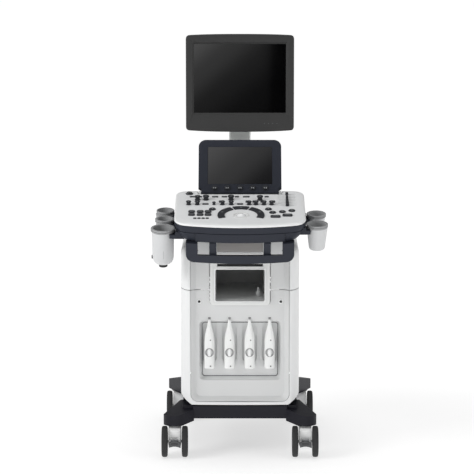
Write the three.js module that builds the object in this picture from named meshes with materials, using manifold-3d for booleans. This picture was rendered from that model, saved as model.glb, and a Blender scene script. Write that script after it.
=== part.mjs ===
// Trolley ultrasound machine: a wheeled base, a covered body with probe ports and a printer bay,
// a swivelling console with a touch panel, and a monitor on a neck.
// Millimetres, +Z up, front towards -Y, origin on the floor under the middle of the machine.
import * as THREE from "three";
import { mergeVertices } from "three/addons/utils/BufferGeometryUtils.js";
import Module from "manifold-3d";

const wasm = await Module();
wasm.setup();

// ---------- driving dimensions ----------

const GAP = 0.4; // air between pieces that touch
const WALL = 3; // moulded cover thickness

// base and casters
const SWIVEL_X = 209; // caster stem from the middle plane
const FRONT_SWIVEL_Y = -222;
const WHEELBASE = 550;
const REAR_SWIVEL_Y = FRONT_SWIVEL_Y + WHEELBASE;
const BASE_MID_Y = (FRONT_SWIVEL_Y + REAR_SWIVEL_Y) / 2;
const WHEEL_R = 50;
const WHEEL_W = 19.5;
const WHEEL_X = 32.2; // wheel centre from the stem
const TRAIL = 28; // axle ahead of the stem
const STEM_R = 6;
const YOKE_TOP = 101.5;
const LEG_TIP_R = 38;
const LEG_BOTTOM = 102;
const RAIL_BOTTOM = 117.5;
const BASE_TOP = 158;

// body
const BODY_HALF_W = 191;
const BODY_FRONT_Y = -220;
const BODY_REAR_Y = 318;
const BODY_BOTTOM = 162.5;
const FASCIA_HALF_W = 158.7; // half width of the recessed front
const FRONT_BOW = 5;
const CORNER_DEPTH = 84;
const SEAM_Z = 535;
const SHOULDER_Z = 668;
const HOOD_TOP = 706;
const HOOD_REAR_Y = 60;
const RECESS_Y = -202; // flat of the front panels
const RECESS_BEVEL = 15;
const REAR_SPLIT_Y = 285;

// bay module and ports
const MODULE_HALF_W = 97;
const MODULE_BOTTOM = 486;
const MODULE_TOP = 699;
const BAY = { halfW: 79, bottom: 499, top: 601, depth: 350 };
const PORT = { halfW: 130, bottom: 241.5, top: 433.5 };
const PLUG_PITCH = 64.4;
const PLUG_COUNT = 4;

// console, in its own tilted frame: y runs up the slope from the front edge, z is out of the deck
const CONSOLE_TILT = THREE.MathUtils.degToRad(14);
const CONSOLE_FRONT = new THREE.Vector3(0, -360, 754.5);
const CONSOLE_HALF_W = 207;
const CONSOLE_LENGTH = 311;
const DECK_T = 8;
const SHELL_DEPTH = 51.5;
const SWIVEL_AXIS_Y = -90; // console turntable
const DRAWER = { halfW: 141, top: -22.8, bottom: -50.8, length: 190 };
const BALL = { x: 3, y: 89, z: -4, r: 19 };
const HANDLE_SILL = 665.3; // level top of the grip bar

// touch panel, in its own leaning frame with the hinge axis along x through the origin
const TOUCH_LEAN = THREE.MathUtils.degToRad(32.5);
const TOUCH_HINGE = new THREE.Vector3(0, -78.7, 832.4);
const TOUCH = { halfW: 134.5, bottom: -6, top: 187.4, front: -12, back: 14 };
const TOUCH_KNOB_PITCH = 41;
const TOUCH_KNOB_Z = 11.3;

// monitor
const MONITOR = { halfW: 177, bottom: 1018, top: 1338, front: 50, back: 98 };
const SCREEN = { halfW: 150.4, bottom: 1080.6, top: 1305.6 };
const TILT_AXIS = { y: 128, z: 1160 };
const NECK_Y = 141;
const BRIDGE_TOP = 829.5;

// ---------- materials ----------

const finish = (color, roughness, metalness = 0) => {
  return new THREE.MeshStandardMaterial({ color, roughness, metalness });
};
const MATERIAL = {
  white: () => finish(0xeeefee, 0.45),
  grey: () => finish(0xc9cac9, 0.5),
  navy: () => finish(0x3c4049, 0.45),
  charcoal: () => finish(0x3f3f40, 0.5),
  key: () => finish(0x34363c, 0.55),
  rubber: () => finish(0x8b8d8f, 0.8),
  wheel: () => finish(0x3a3a3b, 0.7),
  glass: () => finish(0x050506, 0.08),
  steel: () => finish(0x9a9da0, 0.35, 1),
  ball: () => finish(0xd9dadb, 0.2),
};

// ---------- solids ----------

function solid(geometry) {
  const bare = geometry.clone();
  bare.deleteAttribute("normal");
  bare.deleteAttribute("uv");
  const merged = mergeVertices(bare, 1e-4);
  const corners = merged.index.array;
  const triVerts = [];
  for (let i = 0; i < corners.length; i += 3) {
    const [a, b, c] = corners.slice(i, i + 3);
    if (a !== b && b !== c && c !== a) triVerts.push(a, b, c);
  }
  const vertProperties = merged.attributes.position.array;
  const mesh = new wasm.Mesh({ numProp: 3, vertProperties, triVerts: new Uint32Array(triVerts) });
  return new wasm.Manifold(mesh);
}

function geometryOf(made) {
  const mesh = made.getMesh();
  const geometry = new THREE.BufferGeometry();
  geometry.setAttribute("position", new THREE.BufferAttribute(Float32Array.from(mesh.vertProperties), 3));
  geometry.setIndex(new THREE.BufferAttribute(Uint32Array.from(mesh.triVerts), 1));
  geometry.computeVertexNormals();
  return geometry;
}

const join = (first, ...others) => others.reduce((all, one) => all.add(one), first);
const cut = (first, ...others) => others.reduce((left, one) => left.subtract(one), first);
const meet = (first, second) => first.intersect(second);

function boxGeometry(x0, x1, y0, y1, z0, z1) {
  return new THREE.BoxGeometry(x1 - x0, y1 - y0, z1 - z0)
    .translate((x0 + x1) / 2, (y0 + y1) / 2, (z0 + z1) / 2);
}
const box = (...limits) => solid(boxGeometry(...limits));

// An outline in XY, pushed up from z0 to z1.
function riseZ(shape, z0, z1, curveSegments = 6) {
  const options = { depth: z1 - z0, bevelEnabled: false, curveSegments };
  return solid(new THREE.ExtrudeGeometry(shape, options).translate(0, 0, z0));
}

// An outline in XZ, pushed back from y0 to y1.
function pushY(shape, y0, y1, curveSegments = 6) {
  const options = { depth: y1 - y0, bevelEnabled: false, curveSegments };
  return solid(new THREE.ExtrudeGeometry(shape, options).rotateX(Math.PI / 2).translate(0, y1, 0));
}

// A side outline in YZ, pushed across from x0 to x1.
function pushX(shape, x0, x1, curveSegments = 6) {
  const across = new THREE.Matrix4().makeBasis(
    new THREE.Vector3(0, 1, 0),
    new THREE.Vector3(0, 0, 1),
    new THREE.Vector3(1, 0, 0),
  );
  const options = { depth: x1 - x0, bevelEnabled: false, curveSegments };
  return solid(new THREE.ExtrudeGeometry(shape, options).applyMatrix4(across).translate(x0, 0, 0));
}

// A profile of [radius, height] points turned about Z. A profile off the axis closes on itself.
function turnedGeometry(profile, segments = 20) {
  const offAxis = profile[0][0] > 0;
  const points = (offAxis ? [...profile, profile[0]] : profile).map(([r, z]) => new THREE.Vector2(r, z));
  return new THREE.LatheGeometry(points, segments).rotateX(Math.PI / 2);
}
const turned = (profile, segments) => solid(turnedGeometry(profile, segments));

const rod = (r, z0, z1, segments = 20) => new THREE.CylinderGeometry(r, r, z1 - z0, segments)
  .rotateX(Math.PI / 2).translate(0, 0, (z0 + z1) / 2);
const rodZ = (r, x, y, z0, z1, segments) => solid(rod(r, z0, z1, segments).translate(x, y, 0));
const rodX = (r, y, z, x0, x1, segments) => solid(
  rod(r, x0, x1, segments).rotateY(Math.PI / 2).translate(0, y, z),
);
const rodY = (r, x, z, y0, y1, segments) => solid(
  rod(r, -y1, -y0, segments).rotateX(Math.PI / 2).translate(x, 0, z),
);

// A solid through rings of equally many points.
// Each ring is convex, and runs anticlockwise seen from the last ring's side.
function loft(rings) {
  const count = rings[0].length;
  const sum = (ring) => ring.reduce((total, p) => total.clone().add(p), new THREE.Vector3());
  const centre = (ring) => sum(ring).divideScalar(count);
  const vertices = [...rings.flat(), centre(rings[0]), centre(rings.at(-1))];
  const last = (rings.length - 1) * count;
  const [low, high] = [vertices.length - 2, vertices.length - 1];
  const faces = [];
  for (let i = 0; i < count; i++) {
    const j = (i + 1) % count;
    faces.push(low, j, i, high, last + i, last + j);
    for (let k = 0; k < last; k += count) {
      faces.push(k + i, k + j, k + count + j, k + i, k + count + j, k + count + i);
    }
  }
  const geometry = new THREE.BufferGeometry().setFromPoints(vertices);
  geometry.setIndex(faces);
  return solid(geometry);
}

// The corners of an outline, without the repeated first point.
function openPoints(shape, divisions = 5) {
  const points = shape.getPoints(divisions);
  return points.filter((p, i) => p.distanceTo(points[(i + 1) % points.length]) > 1e-3);
}
const ringXY = (shape, z, divisions) => {
  return openPoints(shape, divisions).map((p) => new THREE.Vector3(p.x, p.y, z));
};
const ringXZ = (shape, y, divisions) => {
  return openPoints(shape, divisions).map((p) => new THREE.Vector3(p.x, y, p.y));
};

function roundRect(x0, x1, y0, y1, lowerR, upperR = lowerR) {
  const shape = new THREE.Shape();
  shape.moveTo(x0 + lowerR, y0);
  shape.lineTo(x1 - lowerR, y0);
  shape.absarc(x1 - lowerR, y0 + lowerR, lowerR, -Math.PI / 2, 0);
  shape.lineTo(x1, y1 - upperR);
  shape.absarc(x1 - upperR, y1 - upperR, upperR, 0, Math.PI / 2);
  shape.lineTo(x0 + upperR, y1);
  shape.absarc(x0 + upperR, y1 - upperR, upperR, Math.PI / 2, Math.PI);
  shape.lineTo(x0, y0 + lowerR);
  shape.absarc(x0 + lowerR, y0 + lowerR, lowerR, Math.PI, 1.5 * Math.PI);
  return shape;
}

function polygon(points) {
  return new THREE.Shape(points.map(([x, y]) => new THREE.Vector2(x, y)));
}

const root = new THREE.Group();

function add(name, made, material, parent = root) {
  const mesh = new THREE.Mesh(geometryOf(made), material());
  mesh.name = name;
  parent.add(mesh);
  return mesh;
}

// ---------- base frame ----------

// One leg for the right front corner, sloping down to the caster; the others are its mirror images.
function legSolid(sideX, sideY) {
  const plan = new THREE.Shape();
  plan.moveTo(148, -216);
  plan.lineTo(182, -249);
  plan.absarc(SWIVEL_X, FRONT_SWIVEL_Y, LEG_TIP_R, 1.25 * Math.PI, 1.9 * Math.PI);
  plan.lineTo(192, -116);
  plan.lineTo(148, -116);
  const block = solid(placed(extruded(plan, LEG_BOTTOM, BASE_TOP), sideX, sideY));
  const wedge = (side, slope, z) => {
    const slab = new THREE.BoxGeometry(400, 400, 80).translate(0, 0, side * 40).rotateX(slope)
      .rotateZ(Math.atan2(49, 72)).translate(160, -150, z);
    return solid(placed(slab, sideX, sideY));
  };
  const sloped = cut(block, wedge(1, 0.185, BASE_TOP - 0.5));
  return sideY < 0 ? cut(sloped, wedge(-1, 0.16, RAIL_BOTTOM)) : sloped;
}

const extruded = (shape, z0, z1) => new THREE.ExtrudeGeometry(shape, {
  depth: z1 - z0, bevelEnabled: false, curveSegments: 8,
}).translate(0, 0, z0);

// Mirrors a front right geometry into another corner, keeping its faces pointing out.
function placed(geometry, sideX, sideY) {
  const made = geometry.index ? geometry.toNonIndexed() : geometry.clone();
  const mirror = new THREE.Matrix4().makeTranslation(0, BASE_MID_Y, 0)
    .multiply(new THREE.Matrix4().makeScale(sideX, -sideY, 1))
    .multiply(new THREE.Matrix4().makeTranslation(0, -BASE_MID_Y, 0));
  made.applyMatrix4(mirror);
  if (sideX * -sideY > 0) return made;
  const p = made.attributes.position;
  for (let i = 0; i < p.count; i += 3) {
    const [x, y, z] = [p.getX(i), p.getY(i), p.getZ(i)];
    p.setXYZ(i, p.getX(i + 1), p.getY(i + 1), p.getZ(i + 1));
    p.setXYZ(i + 1, x, y, z);
  }
  return made;
}

const CORNERS = [
  ["front_left", -1, -1],
  ["front_right", 1, -1],
  ["rear_left", -1, 1],
  ["rear_right", 1, 1],
];
const swivelY = (sideY) => BASE_MID_Y + sideY * WHEELBASE / 2;

function baseFrame() {
  const crossbar = (y0, y1) => box(-152, 152, y0, y1, RAIL_BOTTOM, BASE_TOP);
  const rail = (side) => box(side < 0 ? -185 : 150, side < 0 ? -150 : 185, -200, 306, RAIL_BOTTOM, BASE_TOP);
  const tray = box(-151, 151, -196, 302, BASE_TOP - 8, BASE_TOP);
  const legs = CORNERS.map(([, sideX, sideY]) => legSolid(sideX, sideY));
  const sockets = CORNERS.map(([, sideX, sideY]) => (
    rodZ(STEM_R + 0.6, sideX * SWIVEL_X, swivelY(sideY), 90, 129, 16)));
  return cut(join(crossbar(-216, -190), crossbar(296, 322), rail(-1), rail(1), tray, ...legs), ...sockets);
}
add("base_frame", baseFrame(), MATERIAL.navy);

// ---------- casters ----------

function yokeSolid(hasPedal) {
  const side = new THREE.Shape();
  side.moveTo(-47, 60);
  side.lineTo(-46, 76);
  side.quadraticCurveTo(-43, 95, -24, 96);
  side.lineTo(26, 96);
  side.quadraticCurveTo(26, 70, 2, 44);
  side.lineTo(-12, 37);
  side.lineTo(-38, 37);
  const body = pushX(side, -20, 20);
  const plate = rodZ(26, 0, 0, 95, YOKE_TOP, 24);
  const stem = rodZ(STEM_R, 0, 0, YOKE_TOP - 1, 127, 16);
  const axle = rodX(4, -TRAIL, WHEEL_R, -42, 42, 12);
  if (!hasPedal) return join(body, plate, stem, axle);
  const ear = (x0, x1) => box(x0, x1, -56, -40, 51, 63);
  const fork = join(body, plate, stem, axle, ear(-17, -12.5), ear(12.5, 17));
  return cut(fork, box(-12.4, 12.4, -60, -42, 48, 66));
}

// Arched foot lever between the wheels, hinged on the yoke's ears.
const PEDAL_AXIS = { y: -50, z: 57 };
function pedalSolid() {
  const arch = new THREE.Shape();
  arch.moveTo(-20, 37);
  arch.quadraticCurveTo(0, 47, 20, 37);
  arch.lineTo(20, 54);
  arch.quadraticCurveTo(0, 66, -20, 54);
  const tongue = box(-11.8, 11.8, -62, PEDAL_AXIS.y, PEDAL_AXIS.z - 4, PEDAL_AXIS.z + 3);
  return join(pushY(arch, -72, -61, 5), tongue, rodX(4.5, PEDAL_AXIS.y, PEDAL_AXIS.z, -11.8, 11.8, 12));
}

function wheelSolid(side) {
  const h = WHEEL_W / 2;
  const profile = [
    [4.4, -h], [36, -h], [47, -h + 2.5], [WHEEL_R, -h + 6],
    [WHEEL_R, h - 4], [47, h - 0.6], [40, h], [37, h - 3], [4.4, h - 3],
  ];
  return solid(turnedGeometry(profile, 24).rotateY(side * Math.PI / 2));
}

for (const [corner, sideX, sideY] of CORNERS) {
  const caster = new THREE.Group();
  caster.position.set(sideX * SWIVEL_X, swivelY(sideY), 0);
  root.add(caster);
  add(`yoke_${corner}`, yokeSolid(sideY < 0), MATERIAL.white, caster);
  if (sideY < 0) add(`brake_pedal_${corner}`, pedalSolid(), MATERIAL.rubber, caster);
  for (const [hand, side] of [["left", -1], ["right", 1]]) {
    const wheel = add(`wheel_${corner}_${hand}`, wheelSolid(side), MATERIAL.wheel, caster);
    wheel.position.set(side * WHEEL_X, -TRAIL, WHEEL_R);
  }
}

// ---------- body covers ----------

// Plan of the body: a gently bowed front, deep elliptical front corners, small rear corners.
function bodyPlan(inset) {
  const [w, front, rear] = [BODY_HALF_W - inset, BODY_FRONT_Y + inset, BODY_REAR_Y - inset];
  const cornerY = front + FRONT_BOW + CORNER_DEPTH;
  const rearR = 30 - inset;
  const plan = new THREE.Shape();
  plan.moveTo(0, front);
  plan.quadraticCurveTo(FASCIA_HALF_W / 2, front, FASCIA_HALF_W, front + FRONT_BOW);
  plan.absellipse(FASCIA_HALF_W, cornerY, w - FASCIA_HALF_W, CORNER_DEPTH, -Math.PI / 2, 0);
  plan.absarc(w - rearR, rear - rearR, rearR, 0, Math.PI / 2);
  plan.absarc(rearR - w, rear - rearR, rearR, Math.PI / 2, Math.PI);
  plan.absellipse(-FASCIA_HALF_W, cornerY, w - FASCIA_HALF_W, CORNER_DEPTH, Math.PI, 1.5 * Math.PI);
  plan.quadraticCurveTo(-FASCIA_HALF_W / 2, front, 0, front);
  return plan;
}

const tube = (z0, z1) => cut(riseZ(bodyPlan(0), z0, z1), riseZ(bodyPlan(WALL), z0 - 1, z1 + 1));
const frontWindow = (inset, z1) => roundRect(
  -FASCIA_HALF_W + inset, FASCIA_HALF_W - inset, BODY_BOTTOM + 10 + inset, z1, 24 - inset, 0.5,
);
const rearHalf = box(-200, 200, REAR_SPLIT_Y, 330, 100, 800);

// The front corners are cut off low down, where the legs come out.
function legNotch(side) {
  const corners = [[148, -5], [200, -5], [200, 34]].map(([x, z]) => [side * x, BODY_BOTTOM + z]);
  return pushY(polygon(side > 0 ? corners : corners.reverse()), -260, -110);
}
add("lower_housing", cut(
  tube(BODY_BOTTOM, SEAM_Z - GAP / 2),
  pushY(frontWindow(0, 600), -260, -140),
  rearHalf,
  legNotch(-1),
  legNotch(1),
), MATERIAL.white);

// The sloped-sided recess that both front panels share.
function frontRecess() {
  const mouth = roundRect(-FASCIA_HALF_W + 1.5, FASCIA_HALF_W - 1.5, BODY_BOTTOM + 12, 800, 23, 0.5);
  const flat = roundRect(-142, 142, BODY_BOTTOM + 26, 800, 16, 0.5);
  return loft([
    ringXZ(flat, RECESS_Y),
    ringXZ(mouth, RECESS_Y - RECESS_BEVEL),
    ringXZ(mouth, BODY_FRONT_Y - 20),
  ]);
}
const moduleOpening = pushY(roundRect(
  -MODULE_HALF_W - GAP, MODULE_HALF_W + GAP, MODULE_BOTTOM - GAP, MODULE_TOP + GAP, 13, 0.5,
), -260, -190);

function lowerFrontPanel() {
  const block = pushY(frontWindow(GAP, SEAM_Z - GAP / 2), BODY_FRONT_Y + FRONT_BOW, RECESS_Y + 6);
  const portOpening = pushY(roundRect(-PORT.halfW, PORT.halfW, PORT.bottom, PORT.top, 12), -230, -190);
  const sockets = [-130.7, 130.7].map((x) => rodY(4.5, x, 496.5, -230, -190, 12));
  return cut(block, frontRecess(), portOpening, moduleOpening, ...sockets);
}
add("lower_front_panel", lowerFrontPanel(), MATERIAL.white);

function upperFrontPanel() {
  const w = FASCIA_HALF_W - GAP;
  const outer = box(-w, w, BODY_FRONT_Y + FRONT_BOW, HOOD_REAR_Y, SEAM_Z + GAP / 2, HOOD_TOP);
  const hollow = box(-w + WALL, w - WALL, RECESS_Y + WALL, HOOD_REAR_Y - WALL, 500, HOOD_TOP - WALL);
  const rearOpening = box(-w + WALL, w - WALL, 0, 100, 500, SHOULDER_Z - 10);
  const bearingHole = rodZ(45, 0, SWIVEL_AXIS_Y, 690, 720, 28);
  return cut(outer, frontRecess(), hollow, rearOpening, bearingHole, moduleOpening);
}
add("upper_front_panel", upperFrontPanel(), MATERIAL.grey);

// Rounded shoulders closed by a lid, cut out for the hood of the upper front panel.
function upperShell() {
  const level = ([inset, z]) => ringXY(bodyPlan(inset), z);
  const base = SEAM_Z + GAP / 2;
  const shoulder = [[0, SHOULDER_Z - 16], [2, SHOULDER_Z - 8], [7, SHOULDER_Z - 2], [15, SHOULDER_Z]];
  const outer = loft([[0, base], ...shoulder].map(level));
  const inner = loft([[WALL, base - 5], [WALL, SHOULDER_Z - 16], [15, SHOULDER_Z - WALL]].map(level));
  const hood = box(-FASCIA_HALF_W, FASCIA_HALF_W, -260, HOOD_REAR_Y + GAP, 500, 700);
  return cut(outer, inner, hood);
}
add("upper_shell", upperShell(), MATERIAL.white);

function rearCover() {
  const skin = meet(tube(BODY_BOTTOM, SEAM_Z - GAP / 2), box(-200, 200, REAR_SPLIT_Y + GAP, 330, 100, 800));
  const slots = [];
  for (const x of [-85, 85]) {
    for (let row = 0; row < 7; row++) {
      const z = 405 + row * 14;
      slots.push(box(x - 50, x + 50, 300, 330, z, z + 6));
    }
  }
  const inletBody = box(88, 152, 296, BODY_REAR_Y - 1, 186, 236);
  const inletMouth = box(96, 144, 300, 330, 194, 228);
  return cut(join(skin, inletBody), ...slots, inletMouth);
}
add("rear_cover", rearCover(), MATERIAL.white);

// ---------- inner frame and electronics ----------

function chassisFrame() {
  const top = 640;
  const posts = [[-1, -165], [1, -165], [-1, 240], [1, 240]].map(([side, y]) => (
    box(side * 143 - 9, side * 143 + 9, y, y + 18, BASE_TOP + GAP, top)));
  const ring = (z0, z1) => cut(box(-152, 152, -165, 258, z0, z1), box(-134, 134, -147, 240, z0 - 1, z1 + 1));
  const plate = cut(box(-152, 152, -165, 258, top, top + 6), box(-120, 120, 20, 230, top - 1, top + 7));
  const post = rodZ(42, 0, SWIVEL_AXIS_Y, top, HOOD_TOP + 5.5, 28);
  return join(ring(BASE_TOP + GAP, BASE_TOP + 6), ring(474, 482), plate, post, ...posts);
}
add("chassis_frame", chassisFrame(), MATERIAL.steel);

function electronicsModule() {
  const cage = box(-124, 124, -120, 225, 172, 462);
  const slots = [];
  for (let i = 0; i < 6; i++) slots.push(box(-105 + i * 36, -85 + i * 36, -110, 230, 250, 470));
  return cut(cage, ...slots);
}
add("electronics_module", electronicsModule(), MATERIAL.steel);

// ---------- printer bay ----------

function printerBay() {
  const face = roundRect(-MODULE_HALF_W, MODULE_HALF_W, MODULE_BOTTOM, MODULE_TOP, 12.5, 0.5);
  const frame = pushY(face, -210, -198);
  const [front, back] = [-200, -210 + BAY.depth];
  const sleeveHalfW = BAY.halfW + WALL;
  const sleeve = box(-sleeveHalfW, sleeveHalfW, front, back + WALL, BAY.bottom - WALL, BAY.top + WALL);
  const cavity = pushY(roundRect(-BAY.halfW, BAY.halfW, BAY.bottom, BAY.top, 5), -220, back, 3);
  const paperSlot = box(-75, 75, -220, -190, 614.5, 618);
  const windowRecess = box(-73.5, 73.5, -220, -204, 654, 700);
  return cut(join(frame, sleeve), cavity, paperSlot, windowRecess);
}
add("printer_bay", printerBay(), MATERIAL.grey);

// ---------- probe ports ----------

const plugX = (i) => (i - (PLUG_COUNT - 1) / 2) * PLUG_PITCH - 1.5;
const PORT_FLOOR_Y = -176;

function portPanel() {
  const front = RECESS_Y + 6 + GAP;
  const block = box(-PORT.halfW - 3.4, PORT.halfW + 3.4, front, PORT_FLOOR_Y + 14, PORT.bottom - 5, PORT.top + 5);
  const outline = (inset) => roundRect(
    -PORT.halfW + inset, PORT.halfW - inset, PORT.bottom + inset, PORT.top - inset, 11 - inset / 2,
  );
  const pan = loft([
    ringXZ(outline(8), PORT_FLOOR_Y, 4),
    ringXZ(outline(1), front, 4),
    ringXZ(outline(1), front - 9, 4),
  ]);
  const pockets = [];
  for (let i = 0; i < PLUG_COUNT; i++) {
    pockets.push(pushY(roundRect(plugX(i) - 24, plugX(i) + 24, 298, 416, 12), -190, PORT_FLOOR_Y + 6, 3));
    pockets.push(rodY(11, plugX(i), 350, -190, -150, 16));
  }
  return cut(block, pan, ...pockets);
}
add("port_panel", portPanel(), MATERIAL.grey);

// A long tapering plug, thick below and drawn out to a slim cable exit on top.
const LATCH_Z = 332.5;
function plugSolid() {
  const section = (halfW, front, back, z) => {
    return ringXY(roundRect(-halfW, halfW, front, back, (back - front) * 0.3), z, 2);
  };
  const body = loft([
    section(14.5, -210, -184, 278),
    section(16.5, -213, -182, 282),
    section(16.5, -215, -180, 372),
    section(14.5, -215, -184, 396),
    section(11, -214.5, -192, 414),
    section(7.2, -214, -203, 427),
    section(5.7, -213.5, -203.5, 438),
  ]);
  const boss = rodY(10, 0, 350, -184, -164, 16);
  const ringRecess = rodY(14.2, 0, LATCH_Z, -230, -211, 20);
  const pinHole = rodY(3.4, 0, LATCH_Z, -230, -204, 12);
  const cableHole = rodZ(3.6, 0, -208.2, 431, 445, 12);
  return cut(join(body, boss), ringRecess, pinHole, cableHole);
}

function latchSolid() {
  const lever = pushY(roundRect(-5, 5, -12, 12, 4.9), -217.5, -211.5, 3);
  return join(lever, rodY(3, 0, 0, -213, -205, 12));
}

for (let i = 0; i < PLUG_COUNT; i++) {
  const place = new THREE.Group();
  place.position.x = plugX(i);
  root.add(place);
  add(`probe_plug_${i + 1}`, plugSolid(), MATERIAL.white, place);
  add(`plug_latch_${i + 1}`, latchSolid(), MATERIAL.white, place).position.z = LATCH_Z;
}

// ---------- console ----------

const consoleGroup = new THREE.Group();
consoleGroup.position.copy(CONSOLE_FRONT);
consoleGroup.rotation.x = CONSOLE_TILT;
root.add(consoleGroup);
consoleGroup.updateMatrixWorld(true);
const intoConsole = consoleGroup.matrixWorld.clone().invert();
const levelInConsole = (geometry) => solid(geometry.applyMatrix4(intoConsole));

// Plan of the console: a bowed front edge, rounded front corners, straight sides.
function consolePlan(sideInset = 0, frontInset = 0) {
  const k = (CONSOLE_HALF_W - sideInset) / CONSOLE_HALF_W;
  const rear = CONSOLE_LENGTH - sideInset;
  const w = CONSOLE_HALF_W * k;
  const plan = new THREE.Shape();
  plan.moveTo(0, frontInset);
  plan.quadraticCurveTo(92 * k, frontInset, 170 * k, frontInset + 19);
  plan.quadraticCurveTo(202 * k, frontInset + 27, w, frontInset + 66);
  plan.lineTo(w, rear - 40);
  plan.quadraticCurveTo(w, rear, w - 40, rear);
  plan.lineTo(40 - w, rear);
  plan.quadraticCurveTo(-w, rear, -w, rear - 40);
  plan.lineTo(-w, frontInset + 66);
  plan.quadraticCurveTo(-202 * k, frontInset + 27, -170 * k, frontInset + 19);
  plan.quadraticCurveTo(-92 * k, frontInset, 0, frontInset);
  return plan;
}

// The band that follows the bowed front edge between two depths.
const frontBand = (near, far, halfW, z0, z1) => meet(
  cut(riseZ(consolePlan(0, near), z0, z1), riseZ(consolePlan(-30, far), z0 - 1, z1 + 1)),
  box(-halfW, halfW, -20, 60, z0, z1),
);

// Each cup: its rim's centre in the console's frame, and its size.
// The cups' axes lean back almost as far as the deck.
const CUP_LEAN = THREE.MathUtils.degToRad(3);
const RIM_H = 10;
const CUPS = [
  {
    name: "cup_left_front", x: -243.6, y: 83.8, z: -31.4,
    rim: 38.5, mouth: 31, top: 35, foot: 34, depth: 119.5, dome: 24, nozzle: 14,
  },
  {
    name: "cup_left_middle", x: -240.4, y: 170.2, z: -34.1,
    rim: 30.8, mouth: 22.5, top: 28, foot: 23, depth: 92, dome: 6,
  },
  {
    name: "cup_left_rear", x: -240, y: 240.7, z: -32.5,
    rim: 28.8, mouth: 25, top: 31, foot: 22, depth: 92, dome: 6,
  },
  {
    name: "cup_right_front", x: 243.4, y: 88.4, z: -19,
    rim: 34.3, mouth: 31, top: 33.2, foot: 25.8, depth: 86, dome: 10,
  },
  {
    name: "cup_right_rear", x: 243, y: 168.6, z: -15.6,
    rim: 31.3, mouth: 26.2, top: 28.5, foot: 22.5, depth: 92, dome: 6,
  },
];

// Arms reach from the shell's flank round the inner front of each cup, and lean with it.
function cupArm({ x, y, z, rim, top }) {
  const side = Math.sign(x);
  const reach = Math.abs(x) - 21.5;
  const near = Math.abs(x) - Math.max(rim, top) - 1;
  const plan = (end) => {
    const corners = [[side * 174, -38], [side * end, -38], [side * end, 10], [side * 174, 26]];
    return polygon(side > 0 ? corners : corners.reverse());
  };
  const ring = riseZ(plan(reach), -RIM_H - 15, -RIM_H - 2.5);
  const root = riseZ(plan(near), -RIM_H - 15, -2);
  const arm = cut(join(ring, root), rodZ(top + 0.6, x, 0, -60, 20, 24));
  return arm.rotate([-THREE.MathUtils.radToDeg(CUP_LEAN), 0, 0]).translate([0, y, z]);
}

function consoleShell() {
  const level = (sideInset, frontInset, z) => ringXY(consolePlan(sideInset, frontInset), z, 6);
  const outer = loft([level(26, 0, -SHELL_DEPTH), level(8, 0, -30), level(1, 0, -12), level(0, 0, -GAP)]);
  const inner = loft([level(30, 4, 4 - SHELL_DEPTH), level(12, 4, -30), level(4, 4, 5)]);
  const boss = levelInConsole(rod(60, HOOD_TOP + 6, 800, 28).translate(0, SWIVEL_AXIS_Y, 0));
  const bridge = levelInConsole(boxGeometry(-72, 72, -80, 190, 782, BRIDGE_TOP));
  const drawerMouth = join(
    frontBand(-4, 8.5, DRAWER.halfW + GAP, -60, DRAWER.top + GAP),
    box(-138, 138, 2, 40, -46.9, -24),
  );
  const bodySolid = cut(join(outer, boss, bridge), inner, riseZ(consolePlan(-5, -5), -GAP, 60), drawerMouth);
  const rearBridge = cut(bridge, riseZ(consolePlan(-1, -5), -70, 20));
  return join(bodySolid, rearBridge, ...CUPS.map(cupArm));
}

const POWER = { x: -163, y: 281, r: 8.5 };
const KNOBS = [
  { name: "gain_knob", x: -109, y: 228, r: 10 },
  { name: "depth_knob", x: -28.8, y: 228, r: 10 },
];

function ballSeat() {
  const cup = rodZ(BALL.r + 5, BALL.x, BALL.y, -27, 1, 20);
  const room = new THREE.SphereGeometry(BALL.r + 0.7, 20, 14).rotateX(Math.PI / 2);
  const hollow = solid(room.translate(BALL.x, BALL.y, BALL.z));
  return { cup, hollow: join(hollow, rodZ(8, BALL.x, BALL.y, -40, 0, 12)) };
}

function consoleDeck() {
  const level = (inset, z) => ringXY(consolePlan(inset, inset), z, 6);
  const plate = loft([level(0, GAP), level(0, 4), level(1.2, 6.8), level(4, DECK_T)]);
  const seat = ballSeat();
  const trough = box(-136, 136, 276, 320, 2.2, 20);
  const hinge = TOUCH_HINGE.clone().applyMatrix4(intoConsole);
  const ears = [-130, 130].map((x) => join(
    rodX(6.5, hinge.y, hinge.z, x - 4, x + 4, 16),
    box(x - 4, x + 4, hinge.y - 6.5, hinge.y + 6.5, 1, hinge.z),
  ));
  const hole = rodX(3.5, hinge.y, hinge.z, -140, 140, 12);
  const shaftHoles = [POWER, ...KNOBS].map(({ x, y }) => rodZ(3.5, x, y, -5, 12, 12));
  return cut(join(cut(join(plate, seat.cup), trough), ...ears), seat.hollow, hole, ...shaftHoles);
}

add("console_shell", consoleShell(), MATERIAL.navy, consoleGroup);
add("console_deck", consoleDeck(), MATERIAL.white, consoleGroup);

const ball = solid(new THREE.SphereGeometry(BALL.r, 24, 16).rotateX(Math.PI / 2));
add("trackball", ball, MATERIAL.ball, consoleGroup).position.set(BALL.x, BALL.y, BALL.z);

// A push or turn control on a short shaft through the deck.
function controlSolid(r, height) {
  return join(
    turned([[0, 0], [r, 0], [r, height * 0.7], [r * 0.86, height], [0, height]], 16),
    rodZ(3, 0, 0, -7, 1, 12),
  );
}
add("power_button", controlSolid(POWER.r, 3.5), MATERIAL.key, consoleGroup)
  .position.set(POWER.x, POWER.y, DECK_T + 2.4);
for (const { name, x, y, r } of KNOBS) {
  add(name, controlSolid(r, 14), MATERIAL.key, consoleGroup).position.set(x, y, DECK_T + GAP);
}

const MAT_Z = DECK_T + GAP;

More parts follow.
